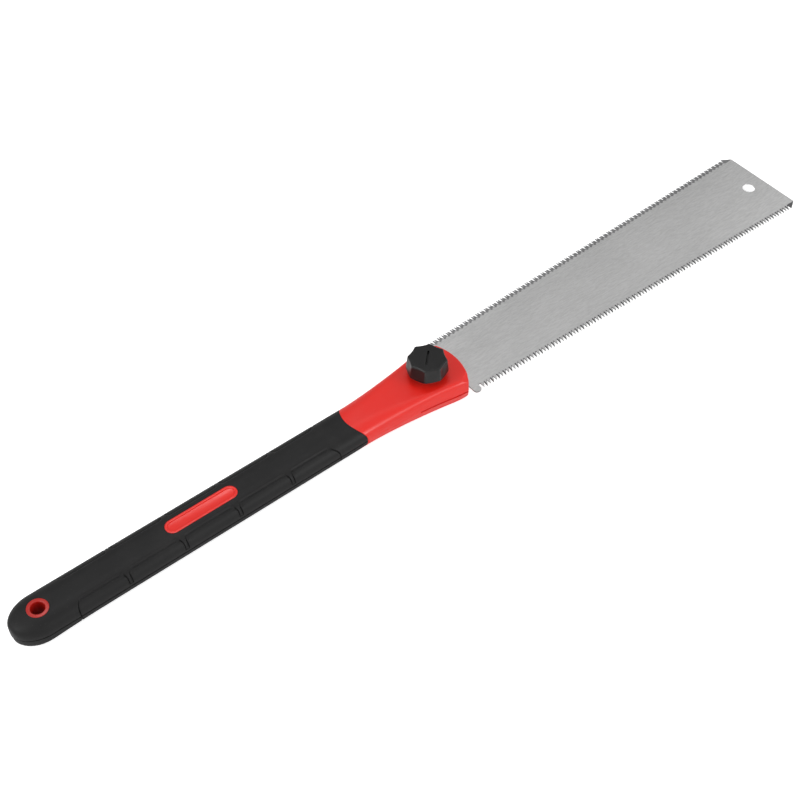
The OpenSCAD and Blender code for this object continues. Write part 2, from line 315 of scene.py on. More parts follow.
def combine(piece: Piece, other: Piece, operation: Operation) -> None:
    """Cuts other out of piece or joins it to piece, and removes other.

    Args:
        piece: The object that is changed.
        other: The object that cuts or is joined.
        operation: Which of the two.
    """
    modifier = piece.modifiers.new("combine", "BOOLEAN")
    modifier.solver = "EXACT"
    modifier.operation = operation.value
    modifier.object = other
    depsgraph = bpy.context.evaluated_depsgraph_get()
    mesh = bpy.data.meshes.new_from_object(piece.evaluated_get(depsgraph))
    piece.modifiers.clear()
    old = piece.data
    piece.data = mesh
    bpy.data.meshes.remove(old)
    bpy.data.objects.remove(other)


def polish(piece: Piece, sharp_deg: float) -> None:
    """Cleans a piece's mesh and shades it smooth, but for its sharp edges.

    Args:
        piece: The piece.
        sharp_deg: Angle from which an edge stays sharp.
    """
    work = bmesh.new()
    work.from_mesh(piece.data)
    bmesh.ops.remove_doubles(work, verts=work.verts, dist=FINAL_WELD)
    bmesh.ops.dissolve_degenerate(work, edges=work.edges, dist=FINAL_WELD)
    work.to_mesh(piece.data)
    work.free()
    piece.data.shade_smooth()
    piece.data.set_sharp_from_angle(angle=math.radians(sharp_deg))


def divide_flats(piece: Piece, corners: int) -> None:
    """Cuts the flat faces with many corners into well-shaped triangles.

    Args:
        piece: The piece.
        corners: Most corners that a face may keep.
    """
    work = bmesh.new()
    work.from_mesh(piece.data)
    wide = [face for face in work.faces if len(face.verts) > corners]
    bmesh.ops.triangulate(work, faces=wide, quad_method="BEAUTY", ngon_method="BEAUTY")
    work.to_mesh(piece.data)
    work.free()


def turned(s: float, radius: Callable[[float], float], z: float, count: int) -> list[Point]:
    """Points of a level ring round the centreline.

    Args:
        s: Station of its centre.
        radius: Radius for a direction in radians.
        z: Height.
        count: Number of points.

    Returns:
        The points.
    """
    points = []
    for i in range(count):
        angle = 2 * math.pi * i / count
        r = radius(angle)
        points.append((s + r * math.cos(angle), r * math.sin(angle), z))
    return points


def circle(s: float, radius: float, z: float, count: int) -> list[Point]:
    """Points of a level circle round the centreline at station s."""
    return turned(s, lambda _: radius, z, count)


@dataclass(frozen=True)
class Stadium:
    """Level outline with straight sides and round ends."""

    mid: float
    length: float
    width: float
    steps: int = 24

    def ring(self, inset: float, z: float) -> list[Point]:
        """The outline at one height.

        Args:
            inset: How far the outline is drawn in.
            z: Height.

        Returns:
            The points.
        """
        radius = self.width / 2 - inset
        reach = (self.length - self.width) / 2
        points = []
        for end in (1, -1):
            for i in range(self.steps + 1):
                angle = math.pi * (i / self.steps - 0.5) + (0 if end > 0 else math.pi)
                points.append(
                    (self.mid + end * reach + radius * math.cos(angle), radius * math.sin(angle), z)
                )
        return points


@dataclass(frozen=True)
class Rows:
    """How points are spread over a quarter of a section, from the flank to the land."""

    heights: tuple[float, ...]
    corner_steps: int
    land_share: float
    land_steps: int

    @property
    def count(self) -> int:
        """Number of points in a quarter, both ends included."""
        return len(self.heights) + self.corner_steps + self.land_steps


@dataclass(frozen=True)
class Section:
    """Quarter of the handle's section: a superellipse with a leaning flank and a flat land."""

    half_w: float
    half_t: float
    lean: float
    power: float
    land: float
    softness: float

    def raw(self, rows: Rows, row: int) -> tuple[float, float]:
        """Point of a row before the land is flattened.

        Args:
            rows: The spread of the points.
            row: Number of the row, 0 at the middle of the flank.

        Returns:
            Half width and height.
        """
        scale = min(1.0, self.half_t / self.land)
        levels = len(rows.heights)
        if row < levels:
            z = rows.heights[row] * scale
            side = (1 - (z / self.half_t) ** self.power) ** (1 / self.power)
            return side * self.half_w - self.lean * z, z
        half_power = self.power / 2
        end = math.acos(rows.land_share**half_power)
        if row < levels + rows.corner_steps:
            start = math.asin((rows.heights[-1] * scale / self.half_t) ** half_power)
            share = (row - levels + 1) / rows.corner_steps
            turn = start + (end - start) * share
            z = self.half_t * math.sin(turn) ** (1 / half_power)
            return self.half_w * math.cos(turn) ** (1 / half_power) - self.lean * z, z
        share = (row - levels - rows.corner_steps + 1) / rows.land_steps
        middle = self.lean * self.half_t / self.half_w
        side = rows.land_share + (middle - rows.land_share) * share
        z = self.half_t * (1 - side**self.power) ** (1 / self.power)
        return (0.0 if share == 1 else side * self.half_w - self.lean * z), z

    def level(self, y: float, z: float) -> float:
        """How far a point lies out: zero on the outline and negative inside it.

        Args:
            y: Half width.
            z: Height.

        Returns:
            The level.
        """
        return (
            ((y + self.lean * z) / self.half_w) ** self.power
            + (z / self.half_t) ** self.power
            - 1
        )

    def flattened(self, z: float) -> float:
        """Height z after the land is flattened."""
        return z - soft_over(z - self.land, self.softness)

    def keep(self, z: float) -> float:
        """Share of the slope that is left at height z after the land is flattened."""
        return max(1e-4, 1 / (1 + math.exp(min(STRAIGHT_FROM, (z - self.land) / self.softness))))


@dataclass(frozen=True)
class HandleForm:
    """Outer form of the whole handle, rubber and plastic together."""

    length: float = 287.4
    half_t: float = 8.0
    grip_half_w: float = 13.0
    fork_half_w: float = 20.1
    butt_len: float = 16.4
    butt_first_deg: float = 12.0
    butt_swell: float = 0.46
    butt_blunt: float = 60.0
    flare_len: float = 73.0
    shoulder_r: float = 50.0
    front_r: float = 33.4
    flank_inset: float = 2.4
    grip_len: float = 208.2
    seam_r: float = 17.5
    clamp_s: float = 266.4
    grip_power: float = 2.65
    butt_power: float = 2.65
    butt_fade: float = 23.0
    fork_power: float = 8.2
    grip_cut: float = 0.1
    fork_cut: float = 0.4
    grip_softness: float = 0.05
    fork_softness: float = 0.16

    @property
    def front_mid(self) -> float:
        """Station of the centre of the front arc."""
        return self.length - self.front_r

    @property
    def seam_mid(self) -> float:
        """Station of the centre of the seam's arc."""
        return self.grip_len + self.seam_r

    @property
    def corner_s(self) -> float:
        """Station of the fork's front corners."""
        return self.front_mid + math.sqrt(self.front_r**2 - self.fork_half_w**2)

    @property
    def flare_end(self) -> float:
        """Station where the fork has its full width."""
        return self.corner_s + 1

    @property
    def flare_start(self) -> float:
        """Station where the grip begins to widen."""
        return self.flare_end - self.flare_len

    def front(self, y: float) -> float:
        """Station of the front arc at half width y."""
        return self.front_mid + math.sqrt(max(0.0, self.front_r**2 - y * y))

    def seam(self, y: float) -> float:
        """Station of the seam between rubber and bare plastic at half width y."""
        return self.seam_mid - math.sqrt(max(0.0, self.seam_r**2 - y * y))

    def half_width(self, s: float) -> float:
        """Half width of the handle at a station.

        Args:
            s: Station.

        Returns:
            The half width.
        """
        rise = self.fork_half_w - self.grip_half_w
        turn = 2 * math.atan(rise / self.flare_len)
        flare_r = self.flare_len / math.sin(turn) - self.shoulder_r
        shoulder = self.flare_start + flare_r * math.sin(turn)
        if s <= self.flare_start:
            return self.grip_half_w
        if s <= shoulder:
            sunk = math.sqrt(flare_r**2 - (s - self.flare_start) ** 2)
            return self.grip_half_w + flare_r - sunk
        if s <= self.flare_end:
            risen = math.sqrt(self.shoulder_r**2 - (self.flare_end - s) ** 2)
            return self.fork_half_w - self.shoulder_r + risen
        return self.fork_half_w

    def plain_power(self, s: float) -> float:
        """Power of the grip's section at station s, which changes towards the butt."""
        share = math.exp(-((s / self.butt_fade) ** 2))
        return self.grip_power + (self.butt_power - self.grip_power) * share

    def section(self, s: float) -> Section:
        """Section of the grip, flare or fork at a station.

        Args:
            s: Station.

        Returns:
            The section.
        """
        share = min(1.0, max(0.0, (s - self.flare_start) / (self.clamp_s - self.flare_start)))
        half_t = self.half_t + self.grip_cut + share * (self.fork_cut - self.grip_cut)
        return Section(
            self.half_width(s),
            half_t,
            share * self.flank_inset / half_t,
            self.plain_power(s) + share * share * (self.fork_power - self.grip_power),
            self.half_t,
            self.grip_softness + share * (self.fork_softness - self.grip_softness),
        )

    def butt_section(self, turn: float) -> tuple[float, Section]:
        """Station and section of the rounded butt.

        Args:
            turn: Angle from the end, 0, to the full width, a quarter turn.

        Returns:
            The station and the section there.
        """
        reach = math.cos(turn) / math.cos(math.radians(self.butt_first_deg))
        reach /= (1 + reach**self.butt_blunt) ** (1 / self.butt_blunt)
        size = math.sin(turn)
        half_t = (self.half_t + self.grip_cut) * size**self.butt_swell
        s = self.butt_len * (1 - reach)
        power = self.plain_power(s)
        half_w = self.grip_half_w * size
        return s, Section(half_w, half_t, 0.0, power, self.half_t, self.grip_softness)

    def skin(
        self, station: Callable[[float], float], rows: Rows
    ) -> tuple[list[Vector], list[Vector]]:
        """Quarter of a ring of the skin, with each point at the station for its half width.

        Args:
            station: Station for a half width.
            rows: The spread of the points.

        Returns:
            The points and the outward unit normals.
        """
        points, normals = [], []
        for row in range(rows.count):
            s = station(0.0)
            y = z = 0.0
            for _ in range(SETTLING_ROUNDS):
                section = self.section(s)
                y, z = section.raw(rows, row)
                s = station(y)
            section = self.section(s)
            points.append(Vector((s, y, section.flattened(z))))
            normals.append(self.normal(s, y, z))
        return points, normals

    def normal(self, s: float, y: float, z: float) -> Vector:
        """Outward unit normal of the skin.

        Args:
            s: Station.
            y: Half width.
            z: Height before the land is flattened.

        Returns:
            The normal.
        """
        step = 1e-4
        section = self.section(s)
        slope = Vector(
            (
                self.section(s + step).level(y, z) - self.section(s - step).level(y, z),
                section.level(y + step, z) - section.level(max(0.0, y - step), z),
                section.level(y, z + step) - section.level(y, max(0.0, z - step)),
            )
        )
        slope.z /= section.keep(z)
        if y == 0.0:
            slope.y = 0.0
        if z == 0.0:
            slope.z = 0.0
        return slope.normalized()


def all_round(quarter: Sequence[Vector], lower: Sequence[Vector] | None = None) -> list[Vector]:
    """Full ring from its quarter, from the +y flank over the top and back under the bottom.

    Args:
        quarter: The upper quarter.
        lower: The lower quarter turned up, where it differs from the upper one.

    Returns:
        The ring.
    """
    over, below = (
        [*q, *(Vector((p.x, -p.y, p.z)) for p in q[-2::-1])]
        for q in (quarter, lower or quarter)
    )
    return [*over, *(Vector((p.x, p.y, -p.z)) for p in below[-2:0:-1])]


@dataclass(frozen=True)
class CornerCut:
    """Plane that takes off the fork's four front corners, with softened edges."""

    cut: float = 4.6
    turn_deg: float = 62.0
    slope_deg: float = 35.6
    softness: float = 0.07

    def cut_back(self, form: HandleForm, p: Vector) -> Vector:
        """A point of the skin after the cut of its own corner.

        Args:
            form: The handle's form.
            p: The point.

        Returns:
            The point, moved onto the plane if it stood over it.
        """
        turn, slope = math.radians(self.turn_deg), math.radians(self.slope_deg)
        side = 1 if p.y >= 0 else -1
        face = 1 if p.z >= 0 else -1
        plane = Vector(
            (
                math.sin(slope) * math.cos(turn),
                side * math.sin(slope) * math.sin(turn),
                face * math.cos(slope),
            )
        )
        on_plane = Vector(
            (
                form.corner_s - self.cut * math.cos(turn),
                side * (form.fork_half_w - self.cut * math.sin(turn)),
                face * form.half_t,
            )
        )
        over = plane.dot(p - on_plane)
        if over < -10 * self.softness:
            return p
        return p - plane * soft_over(over, self.softness)


@dataclass
class HandleMoulding:
    """One-piece red moulding: fork with its blade slot, spine, windows and hang ring."""

    form: HandleForm
    front_round: float = 0.9
    front_steps: int = 7
    front_rows: int = 14
    seam_round: float = 0.22
    seam_steps: int = 4
    seam_rows: int = 6
    ring_step: float = 1.4
    ring_shares: tuple[float, float, float] = (0.006, 0.916, 0.981)
    front_rings: int = 14
    sharp_deg: float = 32.0
    slot_half: float = 0.45
    slot_half_w: float = 30.0
    slot_ahead: float = 8.0
    lip_round: float = 0.3
    lip_fade: float = 0.8
    front_band: float = 0.7
    slit_s: float = 249.4
    pocket_s: float = 238.1
    pocket_half_w: float = 10.3
    pocket_ahead: float = 4.0
    pocket_corner_r: float = 1.5
    screw_hole_r: float = 2.8
    hex_af: float = 8.0
    hex_top: float = -3.6
    mouth_chamfer: float = 0.35
    spine_half_w: float = 8.5
    spine_half_t: float = 5.5
    spine_bevel: float = 1.5
    hang_s: float = 16.4
    hang_bore_r: float = 3.7
    hang_ring_r: float = 5.8
    hang_ring_face: float = 7.8
    window: Stadium = Stadium(113.4, 44.0, 9.0)
    window_face: float = 7.9
    window_floor: float = 7.3
    window_rim: float = 1.4

    @property
    def rows(self) -> Rows:
        """Spread of the points over a quarter of the fork's section.

        Returns:
            The spread.
        """
        low = self.slot_half - 0.01
        lip = tuple(low + self.lip_round * x for x in (0.0, 0.15, 0.35, 0.6, 0.85, 1.1))
        return Rows((0.0, 0.2, *lip, 1.0, 1.5, 2.1, 2.8, 3.5, 4.2, 4.9), 22, 0.74, 18)

    def lip(self, s: float, z: float) -> float:
        """Depth of the rounded lips of the blade slot at a point of the skin.

        Args:
            s: Station of the point.
            z: Height of the point.

        Returns:
            The depth, 0 away from the slot.
        """
        over = self.slot_half + self.lip_round - abs(z)
        if over <= 0:
            return 0.0
        share = min(1.0, over / self.lip_round)
        depth = self.lip_round * (1 - math.sqrt(1 - share * share))
        return depth * smooth_step((s - self.slit_s + self.lip_fade) / self.lip_fade)

    def fork_rings(self) -> list[list[Vector]]:
        """Rings of the fork's skin, from the rounded seam edge to the rounded front edge.

        Returns:
            A quarter of each ring, from the seam to the front.
        """
        form, rows = self.form, self.rows
        rings = []
        edge, skins = form.skin(form.seam, rows)
        back = [away(p, form.seam_mid) for p in edge]
        rings.extend(rounded_edge(edge, skins, back, self.seam_round, self.seam_steps)[::-1])
        span = form.length - form.grip_len
        start, dense, end = self.ring_shares
        shares = spread(start, dense, int(span / self.ring_step))
        shares += spread(dense, end, self.front_rings)
        for share in (*shares, end):

            def between(y: float, t: float = share) -> float:
                """Station at that share of the way from the seam to the front."""
                return form.seam(y) + (form.front(y) - form.seam(y)) * t

            rings.append(form.skin(between, rows)[0])
        edge, skins = form.skin(form.front, rows)
        ahead = [away(p, form.front_mid) for p in edge]
        rings.extend(rounded_edge(edge, skins, ahead, self.front_round, self.front_steps))
        return rings

    def shaped(self, p: Vector, corner: CornerCut) -> Vector:
        """A point of the fork after the corner cuts and the slot's lips.

        Args:
            p: The point.
            corner: The cut of the fork's corners.

        Returns:
            The point in its place.
        """
        p = corner.cut_back(self.form, p)
        depth = self.lip(p.x, p.z)
        if depth == 0.0:
            return p
        ahead = Vector((p.x - self.form.front_mid, p.y, 0.0))
        by_front = ahead.length > self.form.front_r - self.front_band
        if by_front and p.x > self.form.corner_s - 2:
            return p - ahead.normalized() * depth
        return Vector((p.x, p.y - math.copysign(depth, p.y), p.z))

    def fork(self) -> Piece:
        """The fork with its slot, tang pocket, screw hole and nut seat.

        Returns:
            The piece.
        """
        shell = Shell("handle_moulding")
        made = shell.loft([all_round(r) for r in self.fork_rings()])
        shell.upright_cap(made[0], self.seam_rows)
        shell.upright_cap(made[-1], self.front_rows)
        corner = CornerCut()
        shell.points = [self.shaped(p, corner) for p in shell.points]
        piece = shell.make()
        slot_end, pocket_end = self.form.length + self.slot_ahead, self.slit_s + self.pocket_ahead
        corner_r = self.pocket_corner_r
        for cutter in (
            self.slab("slot", self.slit_s, slot_end, self.slot_half_w, 0.0),
            self.slab("pocket", self.pocket_s, pocket_end, self.pocket_half_w, corner_r),
            self.hole(),
            self.nut_seat(),
        ):
            combine(piece, cutter, Operation.CUT)
        return piece

    def slab(self, name: str, start: float, end: float, half_w: float, corner_r: float) -> Piece:
        """Flat cutter for the blade's space.

        Args:
            name: Name of the cutter.
            start: Station of its rear end.
            end: Station of its front end.
            half_w: Half its width.
            corner_r: Radius of its rear corners.

        Returns:
            The cutter.
        """
        outline: list[tuple[float, float]] = [(end, -half_w), (end, half_w)]
        for side in (1, -1):
            for i in range(7):
                turn = math.pi / 2 * (i / 6 if side > 0 else 1 - i / 6)
                outline.append(
                    (
                        start + corner_r * (1 - math.sin(turn)),
                        side * (half_w - corner_r * (1 - math.cos(turn))),
                    )
                )
        unique = list(dict.fromkeys(outline))
        heights = (-self.slot_half, self.slot_half)
        return solid(name, [[(s, y, z) for s, y in unique] for z in heights])

    def hole(self) -> Piece:
        """Cutter for the screw hole, with a chamfered mouth in the top land.

        Returns:
            The cutter.
        """
        r, top, chamfer = self.screw_hole_r, self.form.half_t, self.mouth_chamfer
        profile = ((r, -top - 1), (r, top - chamfer), (r + 2 * chamfer, top + chamfer))
        return solid("hole", [circle(self.form.clamp_s, radius, z, 64) for radius, z in profile])

    def nut_seat(self) -> Piece:
        """Cutter for the nut's hexagonal seat, with a chamfered mouth in the bottom land.

        Returns:
            The cutter.
        """
        bottom, chamfer = -self.form.half_t, self.mouth_chamfer
        r = self.hex_af / math.sqrt(3)
        profile = ((r, self.hex_top), (r, bottom + chamfer), (r + 2.3 * chamfer, bottom - chamfer))
        return solid("seat", [circle(self.form.clamp_s, radius, z, 6) for radius, z in profile])

    def spine(self) -> Piece:
        """Bevelled bar inside the rubber.

        Returns:
            The bar.
        """
        w, t, b = self.spine_half_w, self.spine_half_t, self.spine_bevel
        upper = [(w, t - b), (w - b, t), (b - w, t), (-w, t - b)]
        outline = [*upper, *((-y, -z) for y, z in upper)]
        start, end = self.hang_s, self.form.seam_mid
        stations = (
            (start, 0.7), (start + 0.6, 0.9), (start + 2, 1.0), (end - 2, 1.0), (end - 0.5, 0.95),
        )
        return solid("spine", [[(s, y * k, z * k) for y, z in outline] for s, k in stations])

    def window_inlay(self) -> Piece:
        """Slab with a sunk field in each face, its edges rounded.

        Returns:
            The slab.
        """
        rim, floor, face = self.window_rim, self.window_floor, self.window_face
        half = [
            (rim + 0.34, floor), (rim + 0.14, floor + 0.05), (rim + 0.05, floor + 0.2),
            (rim, face - 0.2), (rim - 0.07, face - 0.06), (rim - 0.22, face),
            (0.26, face), (0.08, face - 0.08), (0.0, face - 0.26),
        ]
        profile = half + [(inset, -z) for inset, z in reversed(half)]
        return solid("window_inlay", [self.window.ring(inset, z) for inset, z in profile])

    def hang_ring(self) -> Piece:
        """Tube through the butt, its edges rounded.

        Returns:
            The tube.
        """
        r, bore, face = self.hang_ring_r, self.hang_bore_r, self.hang_ring_face
        half = [
            (bore, face - 1.2), (bore + 0.02, face - 0.5), (bore + 0.14, face - 0.18),
            (bore + 0.42, face), (r - 0.3, face), (r - 0.09, face - 0.09),
            (r, face - 0.3), (r, face - 1.2),
        ]
        profile = half + [(radius, -z) for radius, z in reversed(half)]
        return solid("hang_ring", [self.hang_circle(r, z) for r, z in profile], tube=True)

    def hang_circle(self, radius: float, z: float) -> list[Point]:
        """Points of a level circle round the hang hole."""
        return circle(self.hang_s, radius, z, 96)

    def bore(self) -> Piece:
        """Cutter that clears the hang hole through the spine."""
        reach = self.spine_half_t + 0.9
        return solid("bore", [self.hang_circle(self.hang_bore_r, z) for z in (-reach, reach)])

    def build(self, finish: "Finish", ring_shade_finish: "Finish") -> None:
        """Builds the moulding and puts it in the place of the frame's core.

        Args:
            finish: Finish of the moulding.
            ring_shade_finish: Finish of the hang ring and its bore, a darker red that is painted
                shade for the recessed ring.
        """
        piece, spine = self.fork(), self.spine()
        combine(spine, self.bore(), Operation.CUT)
        for inner in (spine, self.window_inlay(), self.hang_ring()):
            combine(piece, inner, Operation.JOIN)
        polish(piece, self.sharp_deg)
        settle(piece, Body.HANDLE, Slot.RED_PLASTIC, finish, "handle_core")
        # The hang ring and its bore take a darker red: painted shade for the recessed ring.
        piece.data.materials.append(ring_shade_finish.material())
        for face in piece.data.polygons:
            if station_of(face.center) < self.hang_s + self.hang_ring_r + 0.1:
                face.material_index = 1


@dataclass(frozen=True)
class PadGrooves:
    """Grooves that outline the pads on the flanks of the grip."""

    start: float = 32.2
    run: float = 163.0
    height: float = 14.6
    corner_r: float = 3.4
    end_r: float = 6.0
    edge: float = 0.42
    pitch: float = 33.8
    first: float = 29.8
    count: int = 4
    cross_w: float = 2.6
    cross_low: float = 1.5
    cross_r: float = 1.6
    depth: float = 0.55
    wall: float = 0.14

    @property
    def cross_mids(self) -> list[float]:
        """Stations of the middles of the cross grooves."""
        return [self.start + self.first + i * self.pitch for i in range(self.count)]

    @staticmethod
    def distance(s: float, z: float, half_s: float, half_z: float, radius: float) -> float:
        """Distance of a point from a rounded rectangle round the origin, negative inside."""
        ds, dz = abs(s) - half_s + radius, abs(z) - half_z + radius
        return math.hypot(max(ds, 0.0), max(dz, 0.0)) + min(max(ds, dz), 0.0) - radius

    def at(self, s: float, z: float) -> float:
        """Depth of the grooves at a point of the flank.

        Args:
            s: Station.
            z: Height.

        Returns:
            The depth, 0 away from the grooves.
        """
        mid = self.start + self.run / 2
        if abs(s - mid) > self.run / 2 + 1:
            return 0.0
        radius = self.end_r if s > mid else self.corner_r
        half_s, half_z = self.run / 2 - self.edge, self.height / 2 - self.edge
        row = self.distance(s - mid, z, half_s, half_z, radius)
        across = min(abs(s - m) for m in self.cross_mids) - self.cross_w / 2
        beside, r = -max(across, self.cross_low - z), self.cross_r
        pad = min(max(row, beside), -r) + math.hypot(max(row + r, 0.0), max(beside + r, 0.0))
        groove = max(-pad, pad - self.edge)
        return self.depth * smooth_step(0.5 - groove / (2 * self.wall))


@dataclass
class RubberSleeve:
    """Black rubber moulded over the spine, from the butt to the seam."""

    form: HandleForm
    grooves: PadGrooves
    window: Stadium
    window_face: float
    hang_s: float
    hang_ring_r: float
    seam_round: float = 0.22
    seam_steps: int = 5
    seam_rows: int = 6
    seam_gap: float = 1.0
    ring_step: float = 1.5
    ring_gap: float = 0.25
    sharp_deg: float = 38.0
    parting_depth: float = 0.5
    parting_half: float = 0.3
    parting_wall: float = 0.05
    parting_share: float = 0.2
    under_power: float = 4.2
    warp_from: float = 199.0
    warp_rings: int = 9
    opening_flare: float = 0.22

    @property
    def rows(self) -> Rows:
        """Spread of the points over a quarter of the grip's section.

        Returns:
            The spread.
        """
        low = (0.0, 0.15, 0.26, 0.29, 0.32, 0.36, 0.5, 0.7, 0.9, 1.1, 1.4, 1.8, 2.2, 2.6, 3.0, 3.4)
        middle = tuple(3.8 + 0.3 * i for i in range(9))
        high = (6.45, 6.6, 6.7, 6.78, 6.86, 6.94, 7.02, 7.1, 7.18, 7.26, 7.34, 7.46)
        return Rows((*low, *middle, *high), 3, 0.44, 9)

    def stations(self) -> list[float]:
        """Stations of the level rings, closer together where the grooves need it.

        Returns:
            The stations, from the butt to the seam.
        """
        fine: set[float] = set()
        grooves = self.grooves
        for edge, inward in ((grooves.start, 1), (grooves.start + grooves.run, -1)):
            fine.update(round(edge + inward * (0.2 * i - 0.4), 3) for i in range(24))
        for mid in grooves.cross_mids:
            for side in (-1, 1):
                edge = mid + side * grooves.cross_w / 2
                fine.update(round(edge + 0.1 * i, 3) for i in range(-3, 4))
            fine.update(round(mid + 0.3 * i, 3) for i in range(-2, 3))
        s = self.form.butt_len + 0.9
        coarse = []
        while s < self.warp_from:
            if all(abs(s - f) > self.ring_gap for f in fine):
                coarse.append(s)
            s += self.ring_step
        return sorted([*fine, *coarse])

    def parting(self, z: float) -> float:
        """Depth of the mould's parting line at height z."""
        over = (self.parting_half - abs(z)) / self.parting_wall
        return self.parting_depth * smooth_step(0.5 + over)

    def sunk(self, p: Vector, normal: Vector, face: int) -> Vector:
        """A point of the skin after the grooves and the parting line.

        Args:
            p: The point, in the upper quarter.
            normal: The skin's normal there.
            face: 1 for the upper half of the sleeve, -1 for the lower one.

        Returns:
            The point.
        """
        depth = self.grooves.at(p.x, face * p.z) + self.parting(p.z)
        flat = Vector((0.0, normal.y, normal.z))
        return p - flat.normalized() * depth

    def half_form(self, face: int) -> HandleForm:
        """Form of the upper half, face 1, or of the lower one, whose butt is fuller."""
        return self.form if face > 0 else replace(self.form, butt_power=self.under_power)

    def butt_rings(self, face: int) -> list[list[Vector]]:
        """Quarter rings of the rounded butt.

        Args:
            face: 1 for the upper half of the sleeve, -1 for the lower one.

        Returns:
            The rings, all in the upper quarter.
        """
        form, rings = self.half_form(face), []
        turns = [0.6, 1.6, 3, 5, 7, 9, 10.5, 12, 13.5, 15, 17, 20, 23, 27, 31, 36, 41]
        for turn_deg in [*turns, *range(47, 84, 6), 90]:
            s, section = form.butt_section(math.radians(turn_deg))
            ring = []
            for row in range(self.rows.count):
                y, z = section.raw(self.rows, row)
                high = section.flattened(z)
                size = max(1e-6, math.hypot(y, high))
                sunk = self.parting(high) * section.half_w / form.grip_half_w
                keep = 1 - min(self.parting_share * size, sunk) / size
                ring.append(Vector((s, y * keep, high * keep)))
            rings.append(ring)
        return rings

    def skin_rings(self, face: int) -> list[list[Vector]]:
        """Quarter rings from behind the butt to the rounded edge at the seam.

        Args:
            face: 1 for the upper half of the sleeve, -1 for the lower one.

        Returns:
            The rings, all in the upper quarter.
        """
        form, rows = self.half_form(face), self.rows
        warp, gap = self.warp_from, self.seam_gap
        level = [lambda _, at=s: at for s in self.stations()]
        curved = [
            lambda y, t=share: warp + (form.seam(y) - gap - warp) * t
            for share in spread(0.0, 1.0, self.warp_rings)
        ]
        rings = []
        for station in (*level, *curved):
            points, skins = form.skin(station, rows)
            rings.append([self.sunk(p, skin, face) for p, skin in zip(points, skins)])
        edge, skins = form.skin(form.seam, rows)
        ahead = [-away(p, form.seam_mid) for p in edge]
        edge = [self.sunk(p, skin, face) for p, skin in zip(edge, skins)]
        rings.extend(rounded_edge(edge, skins, ahead, self.seam_round, self.seam_steps))
        return rings

    def opening(self, name: str, ring: Callable[[float, float], list[Point]]) -> Piece:
        """Cutter through the sleeve that flares at the lands.

        Args:
            name: Name of the cutter.
            ring: Gives its outline for an inset and a height.

        Returns:
            The cutter.
        """
        deep = self.window_face - 0.15
        out, far = -2.2 * self.opening_flare, deep + 2 * self.opening_flare
        profile = [(out, -far), (0.0, -deep), (0.0, deep), (out, far)]
        return solid(name, [ring(inset, z) for inset, z in profile])

    def hang_outline(self, inset: float, z: float) -> list[Point]:
        """Outline of the hang ring, drawn in by inset, at height z."""
        return circle(self.hang_s, self.hang_ring_r - inset, z, 96)

    def build(self, finish: "Finish") -> None:
        """Builds the sleeve and puts it in the place of the frame's rubber.

        Args:
            finish: Finish of the rubber.
        """
        shell = Shell("rubber_sleeve")
        upper, lower = ([*self.butt_rings(face), *self.skin_rings(face)] for face in (1, -1))
        made = shell.loft([all_round(*pair) for pair in zip(upper, lower)])
        shell.fan(made[0], (min(p.x for p in shell.points[:4]) - 0.001, 0.0, 0.0))
        shell.upright_cap(made[-1], self.seam_rows)
        piece = shell.make()
        combine(piece, self.opening("window_cut", self.window.ring), Operation.CUT)
        combine(piece, self.opening("ring_cut", self.hang_outline), Operation.CUT)
        polish(piece, self.sharp_deg)
        settle(piece, Body.HANDLE, Slot.BLACK_RUBBER, finish, "rubber_grip")


